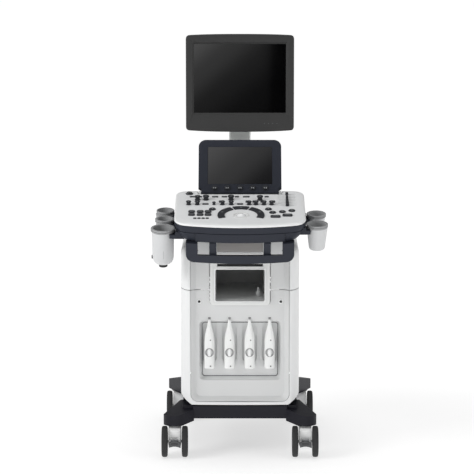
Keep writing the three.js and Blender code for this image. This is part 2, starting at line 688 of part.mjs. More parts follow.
// A key on the half ring behind the trackball, between two angles in degrees.
function arcKey(from, to) {
  const [a, b] = [from, to].map(THREE.MathUtils.degToRad);
  const shape = new THREE.Shape();
  shape.absarc(BALL.x, BALL.y, 74, a, b);
  shape.absarc(BALL.x, BALL.y, 52, b, a, true);
  return riseZ(shape, MAT_Z, MAT_Z + 4);
}

// Every key of the deck stands on one thin mat.
function keyMat() {
  const key = (x0, x1, y0, y1, height = 3) => box(x0, x1, y0, y1, MAT_Z, MAT_Z + 1 + height);
  const plan = polygon([[-168, 58], [168, 58], [178, 100], [178, 262], [-178, 262], [-178, 100]]);
  const mat = cut(
    riseZ(plan, MAT_Z, MAT_Z + 1),
    rodZ(24.5, BALL.x, BALL.y, 0, 20, 24),
    box(108, 192, 160, 262, 0, 20),
    ...KNOBS.map(({ x, y, r }) => rodZ(r + 1, x, y, 0, 20, 16)),
  );
  const keys = [];
  for (let i = 0; i < 3; i++) {
    const x = -164 + i * 26;
    keys.push(key(x, x + 22, 83, 105), key(x, x + 22, 109, 131));
  }
  for (let i = 0; i < 4; i++) keys.push(key(-146 + i * 13, -136 + i * 13, 61, 68, 1.5));
  for (const x of [-164, -135, -83, -56, -28, 28, 51, 76.5]) keys.push(key(x - 8, x + 8, 172, 196, 9));
  for (const x of [-110, 0]) keys.push(key(x - 9, x + 9, 182, 194, 2));
  for (let i = 0; i < 5; i++) keys.push(key(-160 + i * 42, -132 + i * 42, 248, 258, 2));
  for (const [x, y] of [[111, 77], [149, 88]]) keys.push(key(x - 15, x + 15, y - 9, y + 9, 2.5));
  for (const [x, y] of [[-87.5, 142], [90, 142], [103, 113], [134, 119], [164, 129]]) {
    keys.push(rodZ(10.5, x, y, MAT_Z, MAT_Z + 4, 12));
  }
  return join(mat, ...keys, arcKey(-21, 63), arcKey(68, 112), arcKey(117, 201));
}

add("key_mat", keyMat(), MATERIAL.key, consoleGroup);

// Row of gain sliders on one bar.
function sliderBank() {
  const bar = box(147, 155, 168, 282, MAT_Z, MAT_Z + 1.6);
  const knobs = [];
  for (let i = 0; i < 8; i++) knobs.push(box(145.5, 156.5, 170 + i * 14.2, 179 + i * 14.2, MAT_Z, MAT_Z + 8));
  return join(bar, ...knobs);
}
add("gain_sliders", sliderBank(), MATERIAL.key, consoleGroup);

// Everything ahead of the drawer's front face.
const cutAhead = () => polygon([[-150, -30], [150, -30], [150, 12], [0, 3], [-150, 12]]);

function keyboardDrawer() {
  const front = frontBand(0, 8, DRAWER.halfW, DRAWER.bottom, DRAWER.top);
  const tray = box(-136, 136, 4, DRAWER.length, -46.4, -27.6);
  const well = box(-131, 131, 20, DRAWER.length - 5, -43.5, -20);
  return cut(join(front, cut(tray, riseZ(cutAhead(), -60, 0))), well);
}
add("keyboard_drawer", keyboardDrawer(), MATERIAL.navy, consoleGroup);

const KEYBOARD = { halfW: 129, y0: 22, y1: 183, z0: -43, z1: -39 };
function keyboard() {
  const plate = box(-KEYBOARD.halfW, KEYBOARD.halfW, KEYBOARD.y0, KEYBOARD.y1, KEYBOARD.z0, KEYBOARD.z1);
  const rows = [];
  for (let i = 0; i < 6; i++) {
    const y = 27 + i * 26;
    rows.push(box(-125, 125, y, y + 21, KEYBOARD.z1 - 1, KEYBOARD.z1 + 5));
  }
  return join(plate, ...rows);
}
add("keyboard", keyboard(), MATERIAL.key, consoleGroup);

// Grip loop under the shell: a bowed bar on two arms and two struts.
function frontHandle() {
  const top = -SHELL_DEPTH - 0.5;
  const outline = roundRect(-170, 170, -115, top + 20, 24, 1);
  const opening = roundRect(-133, 133, -88.5, top + 30, 6, 1);
  const loop = cut(pushY(outline, -40, 60), pushY(opening, -50, 70), box(-180, 180, -50, 70, top, 0));
  const strut = (x) => box(x - 11.5, x + 11.5, 2, 60, -92, top);
  const sills = [[-133, -97], [-73, 73], [97, 133]].map(([x0, x1]) => {
    return levelInConsole(boxGeometry(x0, x1, -420, -250, HANDLE_SILL, HANDLE_SILL + 12));
  });
  const curved = cut(riseZ(consolePlan(-40, -14), -120, top), riseZ(consolePlan(-60, 16), -130, top + 5));
  return cut(meet(join(loop, strut(-85), strut(85)), curved), ...sills);
}
add("front_handle", frontHandle(), MATERIAL.navy, consoleGroup);

function cupSolid({ rim, mouth, top, foot, depth, dome, nozzle }) {
  const nozzleProfile = nozzle ? [[0, -depth - 10], [nozzle, -depth - 10], [nozzle, -depth]] : [[0, -depth]];
  return turned([
    ...nozzleProfile,
    [foot - dome * 0.72, -depth], [foot - dome * 0.22, -depth + dome * 0.38], [foot, -depth + dome],
    [top, -RIM_H - 2], [rim, -RIM_H], [rim, -1], [rim - 1.5, 0],
    [mouth + 1, 0], [mouth, -3],
    [foot - 5, -depth + dome + 2], [foot - 5 - dome * 0.55, -depth + 6.5], [0, -depth + 6.5],
  ], 24);
}
for (const cup of CUPS) {
  const mesh = add(cup.name, cupSolid(cup), MATERIAL.white, consoleGroup);
  mesh.rotation.x = -CUP_LEAN;
  mesh.position.set(cup.x, cup.y, cup.z);
}

// ---------- touch panel ----------

const touchGroup = new THREE.Group();
touchGroup.position.copy(TOUCH_HINGE);
touchGroup.rotation.x = -TOUCH_LEAN;
root.add(touchGroup);

const TOUCH_SCREEN = roundRect(-104.5, 104.5, 25.2, 160.6, 1.5);
const touchKnobX = (i) => (i - 2) * TOUCH_KNOB_PITCH;

function touchHousing() {
  const { halfW, bottom, top, front, back } = TOUCH;
  const face = roundRect(-halfW, halfW, bottom, top, 4, 22);
  const rim = roundRect(-halfW + 3, halfW - 3, bottom + 3, top - 3, 4, 20);
  const rear = roundRect(-halfW + 16, halfW - 16, bottom + 22, top - 18, 4, 20);
  const body = loft([ringXZ(rear, back), ringXZ(face, 0), ringXZ(face, front + 2), ringXZ(rim, front)]);
  const screen = pushY(TOUCH_SCREEN, front - 5, front + 3);
  const holes = [0, 1, 2, 3, 4].map((i) => rodY(3.4, touchKnobX(i), TOUCH_KNOB_Z, front - 5, front + 8, 12));
  const notches = [-133, 133].map((x) => box(x - 7.5, x + 7.5, -20, 20, -12, 12));
  return join(cut(body, screen, ...holes, ...notches), rodX(3, 0, 0, -132, 132, 12));
}
add("touch_housing", touchHousing(), MATERIAL.navy, touchGroup);
const touchGlass = pushY(roundRect(-104, 104, 25.7, 160.1, 1.5), TOUCH.front + 0.2, TOUCH.front + 2.6);
add("touch_glass", touchGlass, MATERIAL.glass, touchGroup);

for (let i = 0; i < 5; i++) {
  const knob = join(
    turned([[0, 0], [8, 0], [8, 6], [6.8, 9], [0, 9]], 16),
    rodZ(3, 0, 0, -6, 1, 12),
  );
  const mesh = add(`touch_knob_${i + 1}`, knob, MATERIAL.key, touchGroup);
  mesh.rotation.x = Math.PI / 2;
  mesh.position.set(touchKnobX(i), TOUCH.front - GAP, TOUCH_KNOB_Z);
}

// ---------- monitor ----------

// Front outline of the monitor, with top and bottom edges that bow out.
function monitorOutline(inset) {
  const [w, z0, z1] = [MONITOR.halfW - inset, MONITOR.bottom + inset, MONITOR.top - inset];
  const r = Math.max(13 - inset, 4);
  const shape = new THREE.Shape();
  shape.moveTo(0, z0);
  shape.quadraticCurveTo(w * 0.6, z0, w - r, z0 + 4.6);
  shape.quadraticCurveTo(w, z0 + 5, w, z0 + 5 + r);
  shape.lineTo(w, z1 - 4 - r);
  shape.quadraticCurveTo(w, z1 - 4, w - r, z1 - 3.6);
  shape.quadraticCurveTo(w * 0.6, z1, 0, z1);
  shape.quadraticCurveTo(-w * 0.6, z1, r - w, z1 - 3.6);
  shape.quadraticCurveTo(-w, z1 - 4, -w, z1 - 4 - r);
  shape.lineTo(-w, z0 + 5 + r);
  shape.quadraticCurveTo(-w, z0 + 5, r - w, z0 + 4.6);
  shape.quadraticCurveTo(-w * 0.6, z0, 0, z0);
  return shape;
}
const screenRect = (grow, r) => {
  const w = SCREEN.halfW + grow;
  return roundRect(-w, w, SCREEN.bottom - grow, SCREEN.top + grow, r);
};
const BEZEL_BACK = MONITOR.front + 14;

function monitorBezel() {
  const block = pushY(monitorOutline(0), MONITOR.front, BEZEL_BACK);
  const mouth = loft([
    ringXZ(screenRect(0, 1), MONITOR.front + 6, 2),
    ringXZ(screenRect(7, 4), MONITOR.front - 0.5, 2),
    ringXZ(screenRect(7, 4), MONITOR.front - 5, 2),
  ]);
  const through = pushY(screenRect(0, 1), MONITOR.front - 5, MONITOR.front + 20, 2);
  const glassSeat = pushY(screenRect(4, 1), MONITOR.front + 7, MONITOR.front + 20, 2);
  return cut(block, mouth, through, glassSeat);
}
add("monitor_bezel", monitorBezel(), MATERIAL.charcoal);
add("monitor_glass", pushY(screenRect(3.6, 1), MONITOR.front + 7.4, MONITOR.front + 10, 2), MATERIAL.glass);

function monitorHousing() {
  const y = BEZEL_BACK + GAP;
  const outer = loft([
    ringXZ(monitorOutline(16), MONITOR.back), ringXZ(monitorOutline(1), y + 16), ringXZ(monitorOutline(0), y),
  ]);
  const bulge = pushY(roundRect(-120, 120, 1080, 1285, 14), MONITOR.back - 2, MONITOR.back + 8, 3);
  const hollow = loft([
    ringXZ(monitorOutline(20), MONITOR.back - 4),
    ringXZ(monitorOutline(5), y + 14),
    ringXZ(monitorOutline(4), y - 5),
  ]);
  return cut(join(outer, bulge), hollow);
}
add("monitor_housing", monitorHousing(), MATERIAL.charcoal);

function tiltYoke() {
  const y = MONITOR.back + 8 + GAP;
  const plate = pushY(roundRect(-50, 50, TILT_AXIS.z - 40, TILT_AXIS.z + 40, 8), y, y + 4, 3);
  const arm = box(-19.5, 19.5, y + 2, TILT_AXIS.y, TILT_AXIS.z - 12, TILT_AXIS.z + 12);
  const barrel = rodX(12, TILT_AXIS.y, TILT_AXIS.z, -19.5, 19.5, 20);
  return cut(join(plate, arm, barrel), rodX(5.5, TILT_AXIS.y, TILT_AXIS.z, -25, 25, 12));
}
add("monitor_tilt_yoke", tiltYoke(), MATERIAL.steel);

function monitorNeck() {
  const foot = rodZ(44, 0, NECK_Y, BRIDGE_TOP + GAP, 843, 28);
  const column = riseZ(roundRect(-35.5, 35.5, 131, 153, 8), 842, 1142, 3);
  const ear = (x0, x1) => box(x0, x1, 118, 153, 1136, 1174);
  const pin = rodX(5, TILT_AXIS.y, TILT_AXIS.z, -32, 32, 12);
  return join(foot, column, ear(-33, -20), ear(20, 33), pin);
}
add("monitor_neck", monitorNeck(), MATERIAL.grey);

export default root;
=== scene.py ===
"""Trolley ultrasound machine: fine meshes, materials, floor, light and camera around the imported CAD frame.

Lengths in the builders are millimetres; meshes are written in metres.
"""

import math

import bmesh
import bpy
from mathutils import Matrix, Vector


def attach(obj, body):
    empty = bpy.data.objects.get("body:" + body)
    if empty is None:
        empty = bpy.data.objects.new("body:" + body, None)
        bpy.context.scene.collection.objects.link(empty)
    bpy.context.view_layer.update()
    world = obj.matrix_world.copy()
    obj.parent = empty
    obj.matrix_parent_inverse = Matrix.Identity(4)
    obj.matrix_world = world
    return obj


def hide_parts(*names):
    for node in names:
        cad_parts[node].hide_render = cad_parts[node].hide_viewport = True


MM = 0.001
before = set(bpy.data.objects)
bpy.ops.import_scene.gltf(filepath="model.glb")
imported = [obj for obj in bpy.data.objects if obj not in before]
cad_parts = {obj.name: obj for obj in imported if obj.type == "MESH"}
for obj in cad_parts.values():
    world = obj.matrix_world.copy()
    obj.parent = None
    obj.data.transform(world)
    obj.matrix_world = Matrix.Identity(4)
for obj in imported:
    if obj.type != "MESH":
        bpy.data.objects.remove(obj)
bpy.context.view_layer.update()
SCENE = bpy.context.scene

# The console and the touch panel are built in their own tilted frames.
CONSOLE_TILT = math.radians(14)
TOUCH_LEAN = math.radians(32.5)
CONSOLE = Matrix.Translation(Vector((0, -360, 754.5)) * MM) @ Matrix.Rotation(CONSOLE_TILT, 4, "X")
TOUCH = Matrix.Translation(Vector((0, -78.7, 832.4)) * MM) @ Matrix.Rotation(-TOUCH_LEAN, 4, "X")
ROW = Matrix.Identity(4)

# Edges over this many degrees stay sharp, unless a piece says otherwise.
SHARP = 32


# ---------- materials ----------

# How far a finish drifts in shade and in gloss, and how deep its grain is in metres.
SHADE_DRIFT, GLOSS_DRIFT, GRAIN_DEPTH = 0.045, 0.05, 0.0004


def new_look(name):
    """A material with its nodes, its links and its shader."""
    made = bpy.data.materials.new(name)
    made.use_nodes = True
    nodes = made.node_tree.nodes
    return made, nodes, made.node_tree.links, nodes["Principled BSDF"]


def fill(node, values):
    for name, value in values.items():
        node.inputs[name].default_value = value


def add_node(nodes, kind, values):
    """A new shader node with some of its inputs set."""
    made = nodes.new(f"ShaderNode{kind}")
    fill(made, values)
    return made


def plastic(name, color, rough, grain=0.0, coat=0.0, metal=0.0, scale=900, ior=1.46, gloss=0.5, cloudy=True):
    """A plain finish with a fine moulded grain, and a slight drift of shade and gloss unless told not to."""
    made, nodes, links, shader = new_look(name)
    fill(shader, {
        "Base Color": (*color, 1), "Roughness": rough, "Metallic": metal, "Coat Weight": coat,
        "Coat Roughness": 0.12, "IOR": ior, "Specular IOR Level": gloss,
    })
    where = nodes.new("ShaderNodeTexCoord").outputs["Object"]
    if cloudy:
        cloud = add_node(nodes, "TexNoise", {"Scale": 7, "Detail": 3})
        shade = nodes.new("ShaderNodeMix")
        shade.data_type = "RGBA"
        fill(shade, {
            "A": (*[c * (1 - SHADE_DRIFT) for c in color], 1),
            "B": (*[min(c * (1 + SHADE_DRIFT), 1) for c in color], 1),
        })
        spread = add_node(nodes, "MapRange", {
            "To Min": max(rough - GLOSS_DRIFT, 0.01), "To Max": rough + GLOSS_DRIFT,
        })
        links.new(where, cloud.inputs["Vector"])
        links.new(cloud.outputs["Fac"], shade.inputs["Factor"])
        links.new(cloud.outputs["Fac"], spread.inputs["Value"])
        links.new(shade.outputs["Result"], shader.inputs["Base Color"])
        links.new(spread.outputs["Result"], shader.inputs["Roughness"])
    if grain:
        noise = add_node(nodes, "TexNoise", {"Scale": scale, "Detail": 2})
        bump = add_node(nodes, "Bump", {"Strength": grain, "Distance": GRAIN_DEPTH})
        links.new(where, noise.inputs["Vector"])
        links.new(noise.outputs["Fac"], bump.inputs["Height"])
        links.new(bump.outputs["Normal"], shader.inputs["Normal"])
    return made


def srgb(value):
    """A linear level from an sRGB one out of 255."""
    v = value / 255
    return v / 12.92 if v <= 0.04045 else ((v + 0.055) / 1.055) ** 2.4


def tone(r, g=None, b=None):
    return (srgb(r), srgb(r if g is None else g), srgb(r if b is None else b))


WHITE = plastic("white_cover", tone(232, 233, 233), 0.42, 0.12)
DECK_WHITE = plastic("deck_white", tone(240, 241, 241), 0.34, 0.06)
DECK_GREY = plastic("deck_grey", tone(240, 241, 242), 0.4, 0.15)
# The front fascia's pale grey: partly its own tone, partly painted shade for its recess and the console above
# it.
FASCIA_GREY_SHADED = plastic("fascia_grey_shaded", tone(213, 214, 214), 0.48, 0.12)
MODULE = plastic("module_grey", tone(226, 227, 226), 0.4, 0.08)
MODULE_DARK = plastic("module_dark", tone(196, 197, 197), 0.5, 0.1)
BAY = plastic("bay_grey", tone(216, 217, 216), 0.4, 0.1)
WINDOW = plastic("module_window", tone(150, 147, 145), 0.3)
MENU = plastic("menu_dot", tone(104, 105, 106), 0.4)
# A flat grey that stands for shade: painted shadow lines and painted dark holes on the front.
PAINTED_SHADOW = plastic("painted_shadow", tone(112, 113, 114), 0.6)
# The covers' white darkened for the cups: painted shade on their bodies.
CUP_WHITE_SHADED = plastic("cup_white_shaded", tone(204, 205, 206), 0.42, 0.1)
PORT = plastic("port_grey", tone(226, 227, 227), 0.5, 0.1)
PLUG = plastic("plug_white", tone(238, 239, 238), 0.35)
LATCH = plastic("latch_grey", tone(160, 161, 161), 0.4)
NAVY = plastic("navy_cover", tone(42, 45, 54), 0.4, 0.1, gloss=0.22)
NAVY_DEEP = plastic("navy_deep", tone(28, 30, 37), 0.5, 0.1, gloss=0.25)
BASE = plastic("base_paint", tone(30, 30, 37), 0.4, 0.25, scale=1400, gloss=0.2)
CHARCOAL = plastic("charcoal_cover", tone(52, 52, 52), 0.45, 0.12, gloss=0.32)
KEY = plastic("key_plastic", tone(40, 42, 47), 0.4, 0.05, gloss=0.4)
# Pale grey for the keys' print, and for the painted highlights on the touch knobs.
KEY_PRINT_AND_GLINT = plastic("key_print_and_glint", tone(150, 152, 154), 0.5)
GROOVE = plastic("groove", tone(28, 28, 30), 0.7)
RUBBER = plastic("rubber", tone(156, 157, 158), 0.65, 0.2)
CUP_INSIDE = plastic("cup_inside", tone(180, 181, 182), 0.75, 0.15)
TREAD = plastic("tread", tone(50, 50, 51), 0.6, 0.2, gloss=0.3)
HUB = plastic("hub", tone(70, 70, 71), 0.5, 0.1)
PEDAL = plastic("pedal", tone(88, 89, 91), 0.5, 0.1, gloss=0.3)
BLACK = plastic("black", tone(24, 24, 25), 0.5)
GLASS = plastic("screen_glass", (0.0012, 0.0012, 0.0014), 0.02, ior=1.5)
TOUCH_GLASS = plastic("touch_glass", (0.004, 0.004, 0.005), 0.04, ior=1.5)
STEEL = plastic("steel", tone(170, 172, 174), 0.3, metal=1.0)
ZINC = plastic("zinc_plate", tone(158, 161, 164), 0.46, 0.2, metal=0.8, scale=260)
TIN = plastic("tinned_case", tone(186, 188, 190), 0.38, 0.1, metal=0.9, scale=500)
CHROME = plastic("chrome", tone(214, 215, 216), 0.16, metal=1.0)
BALL = plastic("ball", tone(246, 247, 248), 0.14, coat=0.8)
# Whiter than the covers to make up for the shade under the legs: painted light on the caster forks.
CASTER_WHITE_LIT = plastic("caster_white_lit", tone(250, 251, 251), 0.4, 0.05)
# The neck's pale grey, made brighter to make up for the monitor's shadow on it: partly painted light.
SILVER_LIT = plastic("silver_neck_lit", tone(240, 243, 240), 0.34, 0.05)


# ---------- outlines ----------

def arc(cx, cy, rx, ry, start, end, steps):
    """Points on an ellipse between two angles in degrees."""
    angles = [math.radians(start + (end - start) * i / steps) for i in range(steps + 1)]
    return [(cx + rx * math.cos(a), cy + ry * math.sin(a)) for a in angles]


def curve(p0, p1, p2, steps):
    """Points on a quadratic curve, its first point left out."""
    return [
        tuple((1 - t) ** 2 * a + 2 * t * (1 - t) * b + t * t * c for a, b, c in zip(p0, p1, p2))
        for t in (i / steps for i in range(1, steps + 1))
    ]


def round_rect(x0, x1, y0, y1, r, upper=None, steps=8):
    """Anticlockwise from the lower left corner."""
    upper = r if upper is None else upper
    return (
        arc(x0 + r, y0 + r, r, r, 180, 270, steps)
        + arc(x1 - r, y0 + r, r, r, 270, 360, steps)
        + arc(x1 - upper, y1 - upper, upper, upper, 0, 90, steps)
        + arc(x0 + upper, y1 - upper, upper, upper, 90, 180, steps)
    )


def circle(cx, cy, r, steps):
    return arc(cx, cy, r, r, 0, 360, steps)[:-1]


def mirrored(half):
    """A closed outline from its right half, which runs from the middle line to the middle line."""
    other = [(-x, y) for x, y in reversed(half) if abs(x) > 1e-6]
    return half + other


def in_plane(points, level, axis):
    """Flat points as corners in space: level is the distance along axis."""
    if axis == "z":
        return [(a, b, level) for a, b in points]
    if axis == "y":
        return [(a, level, b) for a, b in points]
    return [(level, a, b) for a, b in points]


# ---------- meshes ----------

def build(name, verts, faces, material, place=ROW, sharp=SHARP):
    """A mesh object with outward faces, smooth except at edges over the sharp angle."""
    mesh = bpy.data.meshes.new(name)
    mesh.from_pydata([[c * MM for c in v] for v in verts], [], faces)
    mesh.validate()
    made = bpy.data.objects.new(name, mesh)
    SCENE.collection.objects.link(made)
    made.matrix_world = place
    mesh.materials.append(material)
    tidy(mesh, sharp)
    return made


def tidy(mesh, sharp=SHARP):
    """Merges doubled points, turns the faces outward and sets the smooth shading."""
    work = bmesh.new()
    work.from_mesh(mesh)
    bmesh.ops.remove_doubles(work, verts=work.verts, dist=2e-6)
    bmesh.ops.recalc_face_normals(work, faces=work.faces)
    work.to_mesh(mesh)
    work.free()
    mesh.polygons.foreach_set("use_smooth", [True] * len(mesh.polygons))
    mesh.set_sharp_from_angle(angle=math.radians(sharp))


def skin(name, rings, material, sharp=SHARP):
    """A solid through rings of equally many points, capped at both ends."""
    count = len(rings[0])
    verts = [v for ring in rings for v in ring]
    faces = []
    for k in range(len(rings) - 1):
        for i in range(count):
            j = (i + 1) % count
            a, b = k * count, (k + 1) * count
            faces.append((a + i, a + j, b + j, b + i))
    faces.append(tuple(reversed(range(count))))
    faces.append(tuple((len(rings) - 1) * count + i for i in range(count)))
    return build(name, verts, faces, material, sharp=sharp)


def stack(name, outline, levels, material, axis="z", sharp=SHARP):
    """A solid through an outline that changes by level: a row is the outline's numbers, then the level."""
    return skin(name, [in_plane(outline(*row), level, axis) for *row, level in levels], material, sharp)


def prism(name, outline, low, high, material, axis="z"):
    return skin(name, [in_plane(outline, low, axis), in_plane(outline, high, axis)], material)


def block(name, x0, x1, y0, y1, z0, z1, material):
    return prism(name, [(x0, y0), (x1, y0), (x1, y1), (x0, y1)], z0, z1, material)


def turned(name, profile, material, place=ROW, steps=48, axis="z", at=(0, 0, 0), sharp=SHARP):
    """A profile of (radius, height) turned about an axis through at. A radius of 0 closes it on the axis."""
    around = [2 * math.pi * i / steps for i in range(steps)]
    verts, rings = [], []
    for r, h in profile:
        if r < 1e-6:
            rings.append([len(verts)] * steps)
            verts.append((0, 0, h))
            continue
        rings.append(range(len(verts), len(verts) + steps))
        verts += [(r * math.cos(a), r * math.sin(a), h) for a in around]
    faces = []
    for low, high in zip(rings, rings[1:]):
        for i in range(steps):
            j = (i + 1) % steps
            face = list(dict.fromkeys((low[i], low[j], high[j], high[i])))
            if len(face) > 2:
                faces.append(face)
    turn = {"z": lambda v: v, "y": lambda v: (v[0], -v[2], v[1]), "x": lambda v: (v[2], v[0], v[1])}[axis]
    verts = [tuple(a + b for a, b in zip(turn(v), at)) for v in verts]
    return build(name, verts, faces, material, place, sharp)


def rod(name, r, low, high, material, axis="z", at=(0, 0, 0), steps=32, edge=0.0):
    """A round bar along an axis, its ends chamfered by edge."""
    e = min(edge, r * 0.4, (high - low) * 0.4)
    profile = [(0, low), (r - e, low), (r, low + e), (r, high - e), (r - e, high), (0, high)]
    if not e:
        profile = [(0, low), (r, low), (r, high), (0, high)]
    return turned(name, profile, material, steps=steps, axis=axis, at=at)


def settle(made):
    """Bakes an object's modifiers into its mesh."""
    bpy.context.view_layer.update()
    graph = bpy.context.evaluated_depsgraph_get()
    old = made.data
    made.data = bpy.data.meshes.new_from_object(made.evaluated_get(graph))
    made.modifiers.clear()
    bpy.data.meshes.remove(old)


def combine(made, others, operation, sharp):
    """A boolean with each of the others in turn, which are used up."""
    for other in others:
        step = made.modifiers.new("shape", "BOOLEAN")
        step.operation = operation
        step.solver = "EXACT"
        step.object = other
    material = made.data.materials[0]
    settle(made)
    for other in others:
        bpy.data.objects.remove(other)
    made.data.materials.clear()
    made.data.materials.append(material)
    made.data.polygons.foreach_set("material_index", [0] * len(made.data.polygons))
    tidy(made.data, sharp)
    return made


def cut(made, *others, sharp=SHARP):
    return combine(made, others, "DIFFERENCE", sharp)


def join(made, *others, sharp=SHARP):
    return combine(made, others, "UNION", sharp)


def meet(made, *others, sharp=SHARP):
    return combine(made, others, "INTERSECT", sharp)


def soften(made, width, segments=3, angle=SHARP):
    """Rounds every edge over the angle."""
    step = made.modifiers.new("edges", "BEVEL")
    step.width = width * MM
    step.segments = segments
    step.limit_method = "ANGLE"
    step.angle_limit = math.radians(angle)
    step.harden_normals = True
    step.miter_outer = "MITER_ARC"
    made.data.polygons.foreach_set("use_smooth", [True] * len(made.data.polygons))
    return made


def mount(made, body, *nodes, slot=None):
    """The piece moves with a body, and stands for the CAD nodes named."""
    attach(made, body)
    if nodes:
        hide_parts(*nodes)
    return made


def placed(place, pieces):
    """The pieces, moved into a frame."""
    for piece in pieces:
        piece.matrix_world = place
    return pieces


def merge(name, pieces):
    """Pieces of one body as one object, each face keeping its material."""
    graph = bpy.context.evaluated_depsgraph_get()
    bpy.context.view_layer.update()
    first = pieces[0]
    home = first.matrix_world.inverted()
    materials, verts, faces, slots, smooth = [], [], [], [], []
    for piece in pieces:
        piece.data.update()
        mesh = bpy.data.meshes.new_from_object(piece.evaluated_get(graph))
        shift = home @ piece.matrix_world
        start = len(verts)
        verts += [shift @ v.co for v in mesh.vertices]
        materials += [m for m in mesh.materials if m not in materials]
        for p in mesh.polygons:
            faces.append([start + i for i in p.vertices])
            slots.append(materials.index(mesh.materials[p.material_index]))
            smooth.append(p.use_smooth)
        bpy.data.meshes.remove(mesh)
    mesh = bpy.data.meshes.new(name)
    mesh.from_pydata(verts, [], faces)
    for m in materials:
        mesh.materials.append(m)
    mesh.polygons.foreach_set("material_index", slots)
    mesh.polygons.foreach_set("use_smooth", smooth)
    mesh.set_sharp_from_angle(angle=math.radians(SHARP))
    made = bpy.data.objects.new(name, mesh)
    SCENE.collection.objects.link(made)
    made.matrix_world = first.matrix_world
    for piece in pieces:
        bpy.data.objects.remove(piece)
    return made


# ---------- base and casters ----------

# Each wheel's axle trails its swivel. The front legs mirror into rear ones about MID_Y.
SWIVEL_X = 209
SWIVEL_Y = {"front": -222, "rear": 328}
MID_Y = 53
TRAIL = 28
AXLE_Z = 50
BAR_LOW, BAR_TOP = 117.5, 157.8


def flip(made, side_x, side_y):
    """Mirrors a front right mesh into another corner."""
    for v in made.data.vertices:
        v.co.x *= side_x
        if side_y > 0:
            v.co.y = 2 * MID_Y * MM - v.co.y
    tidy(made.data)
    return made


def leg(side_x, side_y):
    """A cast leg that slopes and narrows from the crossbar out to the caster."""
    plan = [(148, -216), (156, -223), (182, -249)]
    plan += arc(SWIVEL_X, SWIVEL_Y["front"], 38, 38, 226, 342, 24)
    plan += [(192, -116), (148, -116)]
    made = prism("leg", plan, 102, 158, BASE)
    slopes = [(0.185, 157.5, 0, 80)]
    if side_y < 0:
        slopes.append((0.16, BAR_LOW, -80, 0))
    outward = Matrix.Rotation(math.atan2(-72, 49), 4, "Z")
    for slope, z, low, high in slopes:
        wedge = block("wedge", -200, 200, -200, 200, low, high, BASE)
        turn = outward @ Matrix.Rotation(slope, 4, "Y")
        wedge.matrix_world = Matrix.Translation(Vector((160, -150, z)) * MM) @ turn
        cut(made, wedge)
    return flip(made, side_x, side_y)


def base():
    bar = block("base", -151, 151, -216, -190, BAR_LOW, BAR_TOP, BASE)
    pieces = [block("rear", -151, 151, 296, 322, BAR_LOW, BAR_TOP, BASE)]
    pieces.append(block("tray", -152, 152, -192, 300, 150, BAR_TOP, BASE))
    for x0, x1 in ((-185, -150), (150, 185)):
        pieces.append(block("rail", x0, x1, -200, 306, BAR_LOW, BAR_TOP, BASE))
    pieces += [leg(sx, sy) for sx in (-1, 1) for sy in (-1, 1)]
    join(bar, *pieces)
    mount(soften(bar, 3.2, 4, 28), "trolley", "base_frame", slot="navy_paint")


def wheel(name, side, x, y):
    """A caster wheel: rubber tread, moulded hub with a raised cap. Its outer face is on that side."""
    tread = [(37, -9.6), (45.5, -9), (48.6, -7.4), (49.8, -4.5), (50, -1), (50, 3), (49.4, 6), (47.6, 8.4),
             (44, 9.6), (40.5, 9.7), (39, 9), (38.2, 7.5), (37, 7.2), (37, -9.6)]
    hub = [(0, -9.5), (37.4, -9.5), (37.4, 6.8), (35, 6.6), (30, 5.6), (16, 5.4), (14.5, 6.2), (13.5, 8.4),
           (12, 9.3), (0, 9.5)]
    pieces = []
    for profile, material in ((tread, TREAD), (hub, HUB)):
        outward = [(r, h * side) for r, h in profile]
        pieces.append(turned(name, outward, material, axis="x", at=(x, y, AXLE_Z), steps=64, sharp=40))
    for i in range(5):
        a = math.radians(72 * i)
        spot = (x + side * 5.2, y + 23 * math.cos(a), AXLE_Z + 23 * math.sin(a))
        pieces.append(rod(name, 4.2, -0.6, 0.9, TREAD, "x", spot, steps=20, edge=0.4))
    return merge(name, pieces)


def yoke(name, x, y, front):
    """The fork between two wheels, with its swivel stem and axle."""
    profile = [(-46.6, 60.5), (-46, 74)] + curve((-46, 74), (-43.5, 94.5), (-24, 95.6), 10) + [(26, 95.6)]
    profile += curve((26, 95.6), (26, 70), (2, 44), 12) + [(-12, 37.4), (-38, 37.4)]
    body = prism(name, [(y + a, b) for a, b in profile], x - 19.8, x + 19.8, CASTER_WHITE_LIT, "x")
    if front:
        cut(body, block("gap", x - 12.2, x + 12.2, y - 62, y - 42, 48, 66, WHITE))
    soften(body, 3, 4)
    lip = [(0, 95.2), (21, 95.2), (24, 96.2), (25.6, 98.6), (25.8, 101.2), (0, 101.3)]
    collar = turned(name, lip, RUBBER, at=(x, y, 0))
    neck = rod(name, 9, 100.5, 101.4, STEEL, at=(x, y, 0), edge=0.3)
    stem = rod(name, 5.9, 100, 126.5, STEEL, at=(x, y, 0), edge=0.8)
    axle_at = (x, y - TRAIL, AXLE_Z)
    axle = rod(name, 3.9, -41.5, 41.5, STEEL, "x", axle_at, edge=0.6)
    bolts = [rod(name, 4.6, low, low + 2.4, STEEL, "x", axle_at, steps=6) for low in (-22.4, 20)]
    return merge(name, [body, collar, neck, stem, axle, *bolts])


def pedal(name, x, y):
    """A brake pedal: an arched pad between the wheels, on a tongue with its pivot."""
    arch = curve((-19.6, 37.4), (0, 47.2), (19.6, 37.4), 16) + [(19.6, 53.6)]
    arch += curve((19.6, 53.6), (0, 65.8), (-19.6, 53.6), 16) + [(-19.6, 37.4)]
    pad = prism(name, [(x + a, b) for a, b in arch[:-1]], y - 71.8, y - 61, PEDAL, "y")
    soften(pad, 2, 3)
    left, right = x - 11.5, x + 11.5
    ribs = [block(name, left, right, y - 71.95, y - 71.5, z, z + 1.4, TREAD) for z in (47.5, 50.5, 53.5)]
    tongue = block(name, left, right, y - 62, y - 50, 53.4, 59.6, PEDAL)
    barrel = rod(name, 4.4, -11.6, 11.6, STEEL, "x", (x, y - 50, 57))
    return merge(name, [pad, tongue, barrel, *ribs])


